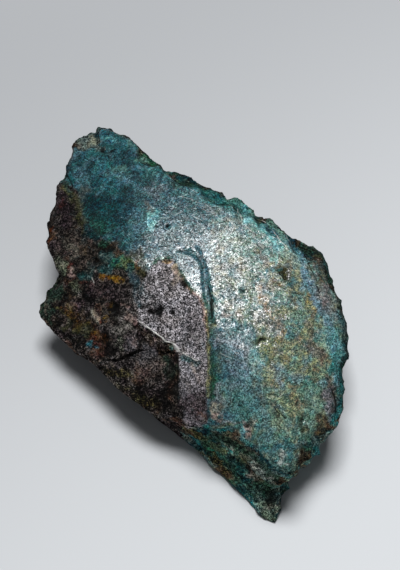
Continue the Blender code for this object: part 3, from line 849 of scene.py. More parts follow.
# %% The gold and green side
GOLD_SIDE = [
    ("leaf", 3.5, 0.5, [(48.5, -39.5), (46.5, -44.5), (46, -50)]),
    ("leaf", 2.5, 0.4, [(32, -52.5), (30.5, -50), (33.5, -55)]),
    ("leaf", 3, 0.4, [(41.5, -37.5), (43.5, -41)]),
    ("gold", 3, 0.5, [(36.5, -44), (38.5, -47)]),
    ("gold", 3.5, 0.5, [(29.5, -23), (32.5, -25.5), (35.5, -29)]),
    ("gold", 3, 0.4, [(42, -22.5), (42.5, -30)]),
    ("denim", 1.6, 0.5, [(43, -27.5), (44, -30)]),
    ("denim", 2.5, 0.5, [(33, -33), (36, -34), (40, -34)]),
    ("sky", 0.9, 0.5, [(36, -34), (37.5, -35)]),
    ("straw", 0.8, 0.4, [(39.5, -38), (40.5, -37)]),
    ("orange sand", 1.2, 0.5, [(42, -44), (41.5, -45.5)]),
    ("orange sand", 1.2, 0.5, [(38.5, -49.5), (40, -51.5)]),
    ("orange sand", 1.1, 0.5, [(37, -38.5), (38.5, -40.5)]),
    ("orange sand", 1.4, 0.6, [(35.5, -17), (34, -19.5)]),
    ("orange sand", 2, 0.4, [(32, -13.5), (34, -16)]),
    ("orange sand", 1.2, 0.5, [(42, -19.5), (43.5, -22.5)]),
    ("brown", 1.6, 0.35, [(33.5, -25.5), (35.5, -28), (37.5, -29.5)]),
    ("sky", 1.6, 0.5, [(23.5, -25), (24, -28)]),
    ("sky", 1.5, 0.45, [(27, -29), (28.5, -31)]),
    ("umber", 2.6, 0.5, [(24, -10.5), (25.5, -13.5), (27.5, -12)]),
    ("brown", 1.5, 0.4, [(28, -14.5), (30.5, -17.5)]),
    ("sand", 1.3, 0.6, [(25.5, 0), (27.5, -3)]),
    ("orange sand", 1.2, 0.6, [(29, -4.5), (30.5, -9)]),
    ("straw", 0.7, 0.6, [(27.5, -4.5), (29, -8.5), (30.5, -11.5)]),
    ("clay", 2, 0.45, [(28, 17), (29.5, 14.5)]),
    ("brown", 1.1, 0.6, [(28, 12), (30, 9.5)]),
    ("brown", 0.9, 0.7, [(39.5, 15), (39.5, 11.5), (39.5, 8)]),
    ("orange sand", 0.8, 0.5, [(40.5, 5), (41.5, 6)]),
    ("brown", 0.9, 0.4, [(33.5, 0.5), (36, 1.5)]),
    ("clay", 2.6, 0.65, [(47, -21), (49, -24), (50, -27)]),
    ("clay", 1.6, 0.5, [(45.5, -15), (48, -17.5)]),
    ("rust", 0.6, 0.8, [(50, -27.5)]),
    ("black", 0.4, 0.9, [(50, -28.5)]),
    ("plum", 1.3, 0.7, [(51.5, -34.5), (53.5, -37.5)]),
    ("plum", 2.6, 0.8, [(51.5, -39.5), (54, -41.5), (53.5, -45)]),
    ("denim", 1.4, 0.5, [(51, -45.5), (53, -46.5)]),
    ("umber", 2.6, 0.8, [(49.5, -49), (51.5, -51), (49.5, -53.5)]),
    ("brown", 1.4, 0.5, [(49.5, -50), (52, -49.5)]),
    ("ochre", 1, 0.3, [(48, -54), (51, -55.5)]),
    ("leaf", 1.4, 0.4, [(42.5, -54.5), (41, -57.5)]),
    ("green", 1.2, 0.5, [(42.5, -56.5), (43.5, -57.5)]),
    ("olive", 1.1, 0.6, [(42, -49), (42.5, -53.5)]),
]

dab_all(GOLD_SIDE)

# %% [markdown]
# ## The right rim
# The outer edge: sea green in its lower half, brown and clay higher up, and denim beside the vein.

# %% The right rim
RIGHT_RIM = [
    ("sea", 3, 0.8, [(55.5, -17.5), (56, -22), (55, -26.5)]),
    ("sky", 1.2, 0.4, [(55, -19), (56.5, -21)]),
    ("sea", 2.4, 0.8, [(55, -29.5), (56, -33)]),
    ("sea", 1.6, 0.7, [(56.5, -36.5), (56.5, -40)]),
    ("moss", 1.2, 0.8, [(58.5, -27.5), (58, -32), (58.5, -40.5)]),
    ("umber", 3, 0.5, [(50, 13), (51.5, 9), (50.5, 4)]),
    ("umber", 2.6, 0.4, [(52.5, 0.5), (54, -4.5), (55, -10)]),
    ("olive", 1.8, 0.7, [(50.5, 18.5), (51.5, 16)]),
    ("brown", 1.3, 0.6, [(48.5, 13.5), (49.5, 12)]),
    ("black", 1.4, 0.7, [(51, 11), (53, 11)]),
    ("brown", 1.8, 0.5, [(50, 6), (51, 0.5)]),
    ("clay", 1.6, 0.5, [(52.5, 3.5), (52, -3)]),
    ("pink", 0.8, 0.5, [(51.5, -3.5)]),
    ("leaf", 1.3, 0.4, [(55, 1), (55, -5)]),
    ("teal", 2, 0.7, [(57.5, -9), (58.5, -11)]),
    ("moss", 1.6, 0.8, [(44.5, 21), (47, 19)]),
    ("denim", 2, 0.7, [(43.5, 15.5), (44.5, 10.5), (44.5, 6), (45, 3)]),
    ("denim", 1.5, 0.7, [(47, 0), (48.5, -3), (49.5, -6), (51, -9), (53, -11.5)]),
    ("plum", 1.2, 0.5, [(41.5, 11), (43, 13)]),
]

dab_all(RIGHT_RIM)

# %% [markdown]
# ## The crest
# The upper edge: sea green, leaf green and sky blue, with a few dark strokes at its border.

# %% The crest
CREST = [
    ("sea", 2.6, 0.6, [(9, 42), (13.5, 40.5), (18, 37.5)]),
    ("moss", 1.6, 0.8, [(10, 38.5), (14, 35)]),
    ("sea", 2.6, 0.6, [(19, 39), (22, 37.5), (23.5, 29.5)]),
    ("leaf", 3, 0.5, [(16, 41), (19, 37.5), (22, 31.5)]),
    ("sky", 2, 0.75, [(20.5, 37), (22, 34), (22.5, 30)]),
    ("leaf", 3, 0.5, [(26, 25.5), (29.5, 21)]),
    ("leaf", 1.1, 0.7, [(24.5, 37), (26, 33)]),
    ("sea", 3, 0.6, [(26, 26.5), (29, 24.5), (31.5, 21), (34, 18)]),
    ("sky", 1.3, 0.6, [(28, 26.5), (30, 23.5), (32, 19.5), (34.5, 18)]),
    ("leaf", 1.8, 0.7, [(32, 31), (35, 26.5), (37, 21.5)]),
    ("green", 1, 0.5, [(31.5, 29)]),
    ("deep", 0.9, 0.8, [(38.5, 25), (40.5, 21.5)]),
    ("teal blue", 1.6, 0.7, [(40, 21), (42, 18)]),
    ("sky", 1.3, 0.5, [(29, 16), (30.5, 14)]),
    ("sky", 1.4, 0.6, [(32.5, 12), (34, 10.5)]),
    ("sky", 0.9, 0.5, [(30.5, 21.5), (33, 18)]),
    ("leaf", 4, 0.35, [(14.5, 20), (21.5, 18.5)]),
    ("moss", 2, 0.6, [(-7.5, 47), (-3.5, 47), (2, 46.5)]),
    ("clay", 1.2, 0.5, [(-8.5, 51), (-6.5, 50.5)]),
    ("umber", 1.2, 0.5, [(8.5, 45.5), (12.5, 44)]),
]

dab_all(CREST)

# %% [markdown]
# ## The middle
# The centre of the face: denim, lilac and sky between the groove and the gold. The last rows are wide
# and faint, and balance the parts around them.

# %% The middle
MIDDLE = [
    # The lighter denim, lilac and sky rows below the groove are partly the face's own colour and partly a
    # painted highlight, where the sheen runs on down the face.
    ("denim", 4, 0.4, [(13.5, -12.5), (16.5, -17.5), (20.5, -21)]),
    ("grey turquoise", 8, 0.8, [(15, -20.5), (18, -31), (20.5, -42.5)]),
    ("lilac", 2.2, 0.45, [(16, -33.5), (18, -37.5)]),
    ("lilac", 1.6, 0.4, [(20.5, -25.5), (17.5, -23.5)]),
    ("denim", 3.4, 0.7, [(12, -22), (16, -27), (19, -31), (19.5, -36)]),
    ("lilac", 2.6, 0.5, [(11.5, -21), (14.5, -23.5), (18, -25.5)]),
    ("lilac", 2, 0.4, [(14.5, -30), (17.5, -33)]),
    ("sky", 1, 0.35, [(13.5, -23.5), (19, -27), (23.5, -33)]),
    ("sky", 0.8, 0.35, [(14.5, -27), (19, -31.5), (22.5, -37.5)]),
    ("sky", 0.8, 0.3, [(13.5, -19), (18, -23.5)]),
    ("sky", 1.6, 0.3, [(19, -40.5), (22.5, -44), (25.5, -47.5)]),
    ("teal blue", 3, 0.5, [(23, -43.5), (27, -49)]),
    ("denim", 2, 0.4, [(27, -51.5), (29, -56.5)]),
    ("sea", 3, 0.45, [(17.5, -44.5), (21, -48)]),
    ("sky", 4, 0.28, [(53, -12), (55, -21)]),
    ("sky", 3, 0.3, [(35, 19), (40, 15), (43.5, 11)]),
    ("gold light", 2, 0.3, [(36.5, 16), (41.5, 12)]),
    ("sea", 4, 0.4, [(6, 40), (12.5, 37.5), (19, 33.5)]),
    ("pale", 1.3, 0.5, [(33, -63.5), (34, -65)]),
    ("denim", 3, 0.4, [(14.5, -4), (18.5, -6)]),
    ("deep", 1, 0.55, [(11, -25), (14.5, -26.5), (17.5, -28.5)]),
    ("teal", 1.6, 0.4, [(12, -31), (14.5, -33.5)]),
    ("pink", 1, 0.5, [(12, -12.5), (14.5, -12)]),
    ("pink", 1, 0.4, [(18.5, -10.5), (19, -12)]),
    ("lilac", 2.5, 0.4, [(17.5, -23), (21, -25.5), (20, -30)]),
    ("teal blue", 3, 0.4, [(13.5, -35), (17.5, -33)]),
    ("sky", 1.5, 0.4, [(19, 0.5), (21.5, -5.5)]),
    ("orange sand", 0.7, 0.8, [(27.5, 0.5), (28.5, -4), (30, -8), (31, -11.5)]),
    ("pale", 0.5, 0.5, [(28, -1.5), (29.5, -6)]),
    ("olive", 1, 0.6, [(20, -1.5), (21, -2.5)]),
    ("straw", 0.5, 0.5, [(19, -3)]),
    ("teal blue", 5, 0.35, [(-15.5, 41), (-8, 38.5), (2, 34.5)]),
    ("deep", 6, 0.3, [(-16.5, 42), (-7.5, 36.5), (2, 32)]),
    ("lilac", 4, 0.35, [(51, 0), (54, -8)]),
    ("grey", 3, 0.45, [(-10, 3), (-6, -1)]),
    ("grey", 2.5, 0.35, [(3, -19), (4, -26), (4.5, -33)]),
    ("umber", 6, 0.4, [(-49, 23), (-44, 19), (-39.5, 15)]),
    ("matrix", 6, 0.4, [(-50, 24.5), (-43.5, 18), (-38.5, 13)]),
    ("black", 5, 0.25, [(-55, 46.5), (-53, 38), (-50, 30)]),
    ("ochre", 3, 0.2, [(-48.5, -3), (-43.5, -8.5)]),
    # Partly the face's own colour and partly a painted highlight: wide faint sky, lilac, pale and denim
    # where the sheen runs down.
    ("sky", 6, 0.15, [(17.5, -19.5), (20.5, -25.5), (22, -31.5)]),
    ("lilac", 4, 0.35, [(13.5, -20.5), (18, -25), (21, -29.5)]),
    ("pale", 2.5, 0.2, [(19.5, -19), (22.5, -25)]),
    ("denim", 1.4, 0.55, [(11.5, -22.5), (15.5, -25), (20, -28.5)]),
    ("denim", 1, 0.4, [(13.5, -27), (17.5, -30)]),
    ("leaf", 6, 0.25, [(15, -40), (20.5, -44.5), (24.5, -48.5)]),
]

dab_all(MIDDLE)

# %% [markdown]
# ## The broken wall
# The walls below the face are seen from the side, so their paths have a height as well, and a stroke
# reaches the same distance in every direction.

# %% The broken wall
WALL = [
    ("teal", 2.4, 0.85, [
        (57.5, -31.5, 29.5), (57.5, -36, 29), (57, -40.5, 28), (56, -45, 27.5), (54.5, -49, 27),
    ]),
    ("deep", 1, 0.6, [(56, -34, 30.5), (56.5, -38.5, 29.5), (56, -43, 28.5)]),
    ("lilac", 1.6, 0.55, [(52, -38.5, 31.5), (53, -42.5, 30.5), (52, -46.5, 29.5)]),
    ("quartz", 0.7, 0.5, [(51.5, -45, 30.5), (53, -46, 29.5)]),
    ("denim", 1.8, 0.5, [(52.5, -12, 34.5), (54, -16.5, 33.5), (55.5, -22, 32.5)]),
    ("umber", 3.5, 0.8, [(0.5, -50.5, 14.5), (4, -52.5, 13.5)]),
    ("olive", 2.4, 0.7, [(2, -51, 15), (5.5, -53.5, 14)]),
    ("moss", 6, 0.6, [(7.5, -55.5, 11), (14.5, -61.5, 11.5), (21.5, -68, 10), (27.5, -74, 8.5)]),
    ("moss", 3, 0.8, [(6, -54.5, 12), (8.5, -56.5, 10.5)]),
    ("green", 1.2, 0.9, [(7.5, -56, 10), (9, -57, 9.5)]),
    ("gold dust", 3, 0.9, [(10, -59, 7), (13, -62, 6.5)]),
    ("olive", 3, 0.6, [(9, -56, 14.5), (12.5, -57.5, 15.5)]),
    ("deep", 4, 0.5, [(17.5, -62.5, 15), (21, -66, 12)]),
    ("moss", 3, 0.7, [(19, -58, 23.5), (15, -55, 24)]),
    ("stone grey", 3.5, 0.75, [(24.5, -65, 20), (28, -67, 20), (30.5, -69.5, 16.5)]),
    ("clay", 3, 0.35, [(25, -65, 20.5), (28.5, -67, 22), (30.5, -69, 17.5)]),
    ("black", 1, 0.9, [(24, -63.5, 21.5), (26.5, -64.5, 23.5)]),
    ("olive", 2.5, 0.6, [(17.5, -59.5, 20), (20.5, -62, 20)]),
    ("moss", 4, 0.7, [(25.5, -71, 9.5), (29, -71.5, 11.5)]),
    ("moss", 2, 0.7, [(28.5, -70, 13.5), (30, -71, 13)]),
    ("stone grey", 4, 0.5, [(28, -75.5, 7), (31, -77.5, 6.5), (32.5, -74.5, 8)]),
    ("celadon", 3, 0.45, [(28, -77, 5), (31, -78.5, 5), (30, -80.5, 2.5)]),
    ("quartz", 1, 0.5, [(30, -78, 5.5), (31.5, -78.5, 5)]),
    ("black", 2.4, 0.7, [(32.5, -74, 8.5), (31, -76, 7.5)]),
    ("quartz", 0.8, 0.6, [(33.5, -77.5, 4), (34.5, -76, 1.5)]),
    ("sky", 0.8, 0.7, [(12.5, -57, 17.5)]),
    ("clay", 1.6, 0.5, [(23, -68, 12.5), (24.5, -67, 15.5)]),
    ("moss", 2, 0.6, [(34, -69, 20)]),
    ("black", 1.4, 0.8, [(22, -65, 16.5), (23, -66.5, 15)]),
    ("black", 1.2, 0.7, [(21.5, -69.5, 8.5), (23, -71, 7.5)]),
    ("black", 1, 0.7, [(14.5, -59, 17), (16.5, -61, 16)]),
    ("clay", 1.6, 0.6, [(13.5, -56.5, 20), (16, -57.5, 21)]),
    # Painted shade over the wall's own umber and moss: a dark band with a black line just under the face's
    # lower edge.
    ("umber", 2.5, 0.7, [(10, -53.5, 23.5), (14.5, -55, 23.5), (20.5, -58.5, 25), (24, -61, 26.5)]),
    ("moss", 2.4, 0.8, [
        (9, -53.5, 21), (13.5, -55.5, 22), (19.5, -59, 23), (24, -62.5, 24), (28.5, -66.5, 23),
        (32.5, -69, 18),
    ]),
    ("black", 1, 0.6, [(11.5, -54, 22), (16, -56.5, 22.5), (21, -60.5, 23.5), (25, -63.5, 23.5)]),
]

dab_all(WALL)

# %% [markdown]
# ## Hairlines
# The finest cracks are thinner than the mesh's quads, and paint on the points would blur them. A signed
# distance does not blur: it is negative on one side of the line and positive on the other, so the
# material finds the exact place where it passes through zero, however coarse the quads. Each point keeps
# its distance to the nearest line, counted in half widths, and how surely it belongs to that line.

# %% The hairlines
CRACKS = {
    # name: half width in millimetres, path, strength where it is not 1
    "crack beside the groove": (0.35, [(6.8, 1.4), (7.6, -2.2), (8, -6.4), (8.4, -10.4), (8.4, -13.8)]),
    "its branch": (0.15, [(8, -3.8), (9.2, -6.8), (10.2, -9.2)]),
    # Painted shadow: a dark line under the tip's raised shelf.
    "tip shelf": (0.4, [
        (-38.2, 68.6), (-37.4, 66.4), (-35.8, 65.2), (-34, 65.2), (-32.4, 66.2), (-30.8, 66.8),
    ]),
    "below the tip patch": (0.25, [
        (-49, 70.4), (-47, 68), (-45, 68.8), (-43.4, 70), (-41, 68.4), (-39.4, 68.8), (-38, 67),
    ]),
    "tip seam": (0.18, [(-39.2, 80.2), (-38.8, 75.6), (-38.2, 68.6)]),
    "small tip crack": (0.2, [(-44.6, 64.4), (-42.8, 62.4), (-40.6, 61.4), (-39.2, 59)]),
    "left notch": (0.3, [(-52, 57.6), (-49.8, 52.8), (-47.8, 47.8)]),
    "riser crack": (0.3, [(-19.2, -14.4), (-16.8, -17), (-15.6, -18.8), (-14.4, -20.8)]),
    "ledge crack": (0.3, [(-12, -21.4), (-9.4, -22.2), (-7, -22.4), (-4.6, -24)]),
    # Painted shadow: a dark line down the recess corner at the facet's edge.
    "facet's edge": (0.4, [(-4.4, -24.2), (-4.6, -27.4), (-4.6, -31), (-4.8, -34.4), (-5, -38.8)]),
    "left crack": (0.4, [
        (-15.6, -20.6), (-18.8, -20.8), (-21.4, -21.4), (-23.4, -22.4), (-26.2, -23.4), (-28.6, -24),
        (-31.4, -23.6), (-34.6, -23.8),
    ]),
    "lower facet crack": (0.2, [
        (-16.4, -34.8), (-13.6, -36), (-10.4, -36.6), (-7.8, -36.2), (-5.8, -35.2),
    ]),
    "edge chip": (0.3, [(-17.6, -42), (-15.6, -43.4), (-13.2, -42.8)]),
    "lower crack": (0.28, [(31.2, -45.8), (32.6, -47.4), (34, -48.4), (35.2, -49.4), (36.2, -50.2)]),
    "lower arc": (0.2, [(28.8, -41.6), (30.4, -41.4), (32.2, -41.2), (33.4, -41.8)]),
    "short crack": (0.35, [(41, -43.2), (40.2, -44.4), (39.4, -45.6)]),
    "notch": (0.42, [(24.6, -23), (25, -22.4), (26.4, -21.4), (27, -20.4), (28, -20.6), (29.2, -21)]),
    "pit's arc": (0.35, [(19, -1.8), (19.6, -1), (20.4, -1), (20.8, -2.2)]),
    "chip's edge": (0.25, [(34, 7.4), (35.6, 5.4), (37.2, 3.4)]),
    "chip's far edge": (0.12, [(37.8, 8.2), (38, 5.6), (37.6, 3.4)]),
    "beside the vein": (0.22, [(44.6, 17.8), (46, 12.4), (47.2, 9), (48.2, 6)]),
    "lower beside the vein": (0.25, [(48.8, 2.4), (49.6, 0.8), (50.4, -0.8)]),
    "rim's seam": (0.3, [(53, -36.8), (54.6, -40.4), (55.4, -43.6), (55.2, -47.4)]),
}
# Painted highlights: pale lines where the ridge, its tail, the crest streaks and a sliver catch the lamp.
# The scratches are real marks, and their pale line is partly a painted highlight.
PAINTED_GLINTS = {
    "ridge": (0.2, [
        (-20.6, -10.2), (-19.4, -11.4), (-16.6, -13.6), (-14.6, -15.2), (-12.8, -16.8), (-10.4, -18.4),
        (-8.4, -19.8), (-6.2, -21.2), (-4.2, -23.2), (-3, -24.4),
    ]),
    "tail": (0.14, [(-3, -24), (-1.2, -25.4), (0.8, -26.6), (3, -28)]),
    "streak a": (0.15, [(20, 28.2), (22, 26), (24.2, 23.4)], 0.5),
    "streak b": (0.18, [(32, 27.4), (33.4, 24.2), (35.2, 21), (36.8, 19), (38.2, 16.4)], 0.5),
    "streak c": (0.2, [(28.6, 30.6), (29.8, 29.6)], 0.8),
    "streak d": (0.18, [(13.6, 30.6), (15.6, 28.4), (17.6, 25.8)], 0.4),
    "streak e": (0.15, [(17.8, 35.2), (19.6, 30.8), (20.8, 27.2)], 0.4),
    "sliver": (0.25, [(-39, 7.4), (-37.4, 5)], 0.5),
    "scratch a": (0.15, [(9.8, -19.6), (11.8, -21.2)], 0.28),
    "scratch b": (0.15, [(11.4, -25.8), (13.6, -27), (15.8, -28.2)], 0.28),
    "scratch c": (0.13, [(15.4, -24.6), (18.4, -26.8)], 0.28),
    "scratch d": (0.12, [(3.8, 34.4), (8.6, 32), (12.4, 28.8)], 0.28),
    "scratch e": (0.12, [(-0.2, 38.2), (5.4, 36.2), (9.8, 32.8)], 0.28),
    "scratch f": (0.1, [(-5, 40.2), (2.2, 38.2)], 0.28),
    "scratch g": (0.12, [(-0.8, -17.2), (2.6, -20.2), (5, -21.4)], 0.28),
    "scratch h": (0.1, [(28.2, 22.2), (31.2, 18), (33.4, 14.2)], 0.28),
    "scratch i": (0.1, [(37.2, 26.2), (38.6, 21.8), (39.8, 19.6)], 0.28),
    "scratch j": (0.12, [(23, -27.2), (27.2, -30.4), (30.2, -32.6)], 0.28),
}


def nearest_line(lines):
    """Signed distance to the nearest line, in half widths, and how surely a point belongs to it."""
    seen = plan + 0.22 * wander[:, :2]
    signed = np.full(len(plan), 9.0)
    near = np.zeros(len(plan))
    closest = np.full(len(plan), 1e9)
    for half_width, path, *strength in lines.values():
        distance, share, side = along(path, seen, sided=True)
        taper = smoothstep(0.0, 0.1, share) * (1 - smoothstep(0.9, 1.0, share))
        closer = distance < closest
        closest[closer] = distance[closer]
        signed[closer] = (distance * side)[closer] / half_width
        near[closer] = (sum(strength or [1.0]) * taper * (1 - smoothstep(0.9, 1.5, distance)))[closer]
    return signed, near * smoothstep(0.1, 0.4, facing[:, 2])


crack_side, crack_near = nearest_line(CRACKS)
painted_glint_side, painted_glint_near = nearest_line(PAINTED_GLINTS)
print(len(CRACKS), "cracks and", len(PAINTED_GLINTS), "streaks")

# %% [markdown]
# ## Storing the paint
# The pairs go onto the mesh as two colour attributes. Their fourth channels carry the share of light
# grains and the fineness. A few plain fields go along: the cracks, the rubbed face, how pitted a spot
# is, and how freely the relief may move it. First the sides get painted light and shade: those turned
# away from the lamp are painted lighter, as only the sky lights them, and the steep rim gets painted shade.

# %% Painted light and shade on the sides
in_shade = smoothstep(-0.1, -0.6, facing[:, 1]) * (1 - upward)  # sides that face away from the lamp
rim = smoothstep(0.45, 0.2, facing[:, 2]) * (1 - in_shade)  # the other steep sides
# Painted light and shade: sides turned from the lamp and sides deep below the face are painted lighter, and
# the steep rim near the face is painted darker.
painted_light_and_shade = 1 + 0.3 * smoothstep(3.0, 8.0, below) * (1 - upward)
painted_light_and_shade *= (1 + 2.7 * in_shade) * (1 - 0.45 * rim * (1 - smoothstep(2.0, 7.0, below)))
coat[:, :3] *= painted_light_and_shade[:, None]
coat[:, 4:7] *= painted_light_and_shade[:, None]
lower_left = smoothstep(0.3, 0.7, -facing[:, 0] * 0.6 - facing[:, 1] * 0.8)  # a straight break
print("balance from", round(float(painted_light_and_shade.min()), 2), "to", round(float(painted_light_and_shade.max()), 2))

# %% Storing the paint
loose = np.clip(0.45 * matrix + 0.6 * in_grain + 0.2 * (1 - face), 0, 1)
upper_scratches = 0.9 * smoothstep(-25, -8, x) * smoothstep(14, 30, y + 0.45 * x)
lower_scratches = 0.5 * smoothstep(4, 10, x) * smoothstep(-30, -5, y)
in_crack = smoothstep(0.0, 0.12, crack_shade)
matte_parts = [1 - face, matrix * (1 - in_grain), 0.5 * in_grain, 0.75 * dulled, in_crack, in_chip]
stored = {
    # The "crack" field is where painted shade darkens the cracks and hollows.
    "crack": crack_shade,
    "rubbed": face,
    "pitted": loose * smoothstep(0.02, 0.2, matrix + in_grain + 1 - face),
    "scratched": face * np.clip(0.12 + upper_scratches + lower_scratches, 0, 1),
    "dull": np.maximum.reduce(matte_parts),
    "crack side": crack_side,
    "crack near": crack_near,
    "painted_glint side": painted_glint_side,
    "painted_glint near": painted_glint_near,
    "grainy": np.maximum(matrix * 0.8, in_grain),
    "free": smoothstep(0.2, 2.5, points[:, 2]),
    "chipped": (1 + 2.2 * smoothstep(3.0, 12.0, below) * (1 - upward)) * (1 - 0.6 * lower_left),
}
for name, values in stored.items():
    layer = stone.data.attributes.new(name, "FLOAT", "POINT")
    layer.data.foreach_set("value", values.astype(np.float32))
for name, columns in (("dark grains", coat[:, :4]), ("light grains", coat[:, 4:])):
    layer = stone.data.attributes.new(name, "FLOAT_COLOR", "POINT")
    layer.data.foreach_set("color", columns.astype(np.float32).ravel())
print("stored:", [layer.name for layer in stone.data.attributes])

# %% [markdown]
# ## Node trees in a few words
# Rock that breaks leaves scallops with sharp ridges between them, and grains fall out of the matrix.
# Both follow a rule, so Geometry Nodes make them, and shader nodes make the finish. One helper adds a
# node and fills or links its inputs. The others are named for the sum that they do, and find their tree
# from the sockets that they are given, so a formula stays as short as it would be on paper.

# %% A node tree in a few words


def add(tree, kind, inputs=None, **settings):
    """Adds a node, fills or links its inputs by name or number, and returns it."""
    made = tree.nodes.new(kind)
    for name, value in settings.items():
        setattr(made, name, value)
    for name, value in (inputs or {}).items():
        if isinstance(value, bpy.types.NodeSocket):
            tree.links.new(value, made.inputs[name])
        else:
            made.inputs[name].default_value = value
    return made


def maths(operation, *values, clamp=False):
    """A Math node, in the tree that its linked values belong to."""
    tree = next(value.id_data for value in values if isinstance(value, bpy.types.NodeSocket))
    inputs = dict(enumerate(values))
    return add(tree, "ShaderNodeMath", inputs, operation=operation, use_clamp=clamp).outputs[0]


def times(first, second, clamp=False):
    return maths("MULTIPLY", first, second, clamp=clamp)


def plus(first, second):
    return maths("ADD", first, second)


def minus(first, second, clamp=False):
    return maths("SUBTRACT", first, second, clamp=clamp)


def over(first, second):
    return maths("DIVIDE", first, second)


def larger(first, second, clamp=False):
    return maths("MAXIMUM", first, second, clamp=clamp)


def times_plus(first, second, third, clamp=False):
    return maths("MULTIPLY_ADD", first, second, third, clamp=clamp)


def between(value, low, high, to_low=0.0, to_high=1.0):
    """A soft switch as a node: to_low below low, to_high above high."""
    ends = {"Value": value, "From Min": low, "From Max": high, "To Min": to_low, "To Max": to_high}
    return add(value.id_data, "ShaderNodeMapRange", ends, interpolation_type="SMOOTHSTEP").outputs[0]


def shifted(vector, by):
    return add(vector.id_data, "ShaderNodeVectorMath", {0: vector, 1: by}, operation="ADD").outputs[0]


def scaled(vector, factor):
    inputs = {0: vector, "Scale": factor}
    return add(vector.id_data, "ShaderNodeVectorMath", inputs, operation="SCALE").outputs[0]


CENTRED = (-0.5, -0.5, -0.5)  # added to noise that runs from 0 to 1
print("helpers:", [helper.__name__ for helper in (add, maths, between, shifted, scaled)])

# %% [markdown]
# ## The relief tree's inputs
# Every size is a named input, so it can be changed on the modifier without opening the tree, and the
# scatter of pits has a fixed seed. The fields stored above say where each effect belongs, and the tree
# reads them by name.

# %% The relief tree's inputs
RELIEF_SIZES = {  # millimetres
    "Break size": 17.0, "Break depth": 5.2,
    "Chip size": 7.5, "Chip depth": 1.7,
    "Small chip size": 3.2, "Small chip depth": 0.7,
    "Grain size": 1.5, "Grain height": 0.44,
    "Pit spacing": 2.0, "Pit width": 0.6, "Pit depth": 0.55,
}
PIT_SEED = 4
relief = bpy.data.node_groups.new("relief", "GeometryNodeTree")


def socket(name, kind, in_out="INPUT"):
    return relief.interface.new_socket(name, in_out=in_out, socket_type="NodeSocket" + kind)


socket("Geometry", "Geometry")
for name, size in RELIEF_SIZES.items():
    socket(name, "Float").default_value = size * MM
socket("Seed", "Int").default_value = PIT_SEED
socket("Material", "Material")
socket("Geometry", "Geometry", "OUTPUT")
given = relief.nodes.new("NodeGroupInput").outputs
place = relief.nodes.new("GeometryNodeInputPosition").outputs[0]
normal = relief.nodes.new("GeometryNodeInputNormal").outputs[0]


def field(name):
    return add(relief, "GeometryNodeInputNamedAttribute", {"Name": name}).outputs["Attribute"]


def noise_field(size, detail=2.0):
    return add(relief, "ShaderNodeTexNoise", {"Vector": place, "Scale": over(1.0, size), "Detail": detail})


print("inputs:", [item.name for item in relief.interface.items_tree])

# %% [markdown]
# ## Bowls with ridges
# The distance from the middle of a Voronoi cell is a bowl, and where two cells meet it leaves a ridge.
# The place is bent by noise first, so that no ridge is straight. Chips hold smaller chips, and the
# deeper sides also have wide breaks, where the field `chipped` is above 1. The rubbed face has none.

# %% Bowls with ridges
BEND = 7.0 * MM  # how far the noise bends a ridge
unrubbed = minus(1.0, field("rubbed"), clamp=True)
bend = shifted(noise_field(given["Chip size"]).outputs["Color"], CENTRED)
bent = shifted(place, scaled(bend, BEND))


def bowls(kind, level):
    """Bowls of a named kind; the level is the cell distance that keeps its height."""
    inputs = {"Vector": bent, "Scale": over(1.0, given[kind + " size"])}
    cells = add(relief, "ShaderNodeTexVoronoi", inputs)
    return times(minus(cells.outputs["Distance"], level), given[kind + " depth"])


chips = times(plus(bowls("Chip", 0.45), bowls("Small chip", 0.45)), unrubbed)
chips = times(chips, field("chipped"))
breaks = times(bowls("Break", 0.5), minus(field("chipped"), 1.0, clamp=True))
print("so far:", len(relief.nodes), "nodes")

# %% [markdown]
# ## Sugary grain and pits
# A finer noise roughens the raw sides and the matrix; the rubbed face keeps a tenth of it. The pits are
# points scattered no closer than a set distance. Geometry Proximity then tells every spot how far it is
# from the nearest one, and a soft switch turns that into a hole. The hole is also stored as a field, so
# that the finish can paint shade into it.

# %% Sugary grain and pits
MATRIX_GRAIN = 0.75  # of the raw sides' grain
FACE_GRAIN = 0.10
rough = larger(unrubbed, times(field("grainy"), MATRIX_GRAIN))
sugar = minus(noise_field(given["Grain size"], 3.0).outputs["Fac"], 0.5)
sugar = times(times(sugar, given["Grain height"]), plus(rough, FACE_GRAIN))

spacing = given["Pit spacing"]
scatter = add(relief, "GeometryNodeDistributePointsOnFaces", {
    "Mesh": given["Geometry"], "Distance Min": times(spacing, 0.55),
    "Density Max": over(1.0, times(spacing, spacing)),
    "Density Factor": field("pitted"), "Seed": given["Seed"],
}, distribute_method="POISSON").outputs["Points"]
nearest = add(relief, "GeometryNodeProximity", {"Geometry": scatter}, target_element="POINTS")
uneven = between(noise_field(spacing).outputs["Fac"], 0.35, 0.65, 0.5, 1.5)
pit_share = over(nearest.outputs["Distance"], times(given["Pit width"], uneven))
pit_hole = between(pit_share, 0.35, 1.2, 1.0, 0.0)
print("so far:", len(relief.nodes), "nodes")

# %% [markdown]
# ## The relief put together
# The heights are added and the points move along their normals. The field `free` is 0 at the underside,
# so that the stone still sits flat. Realize Instances and Set Material end the tree, because the export
# drops instances and a new mesh has no material of its own.

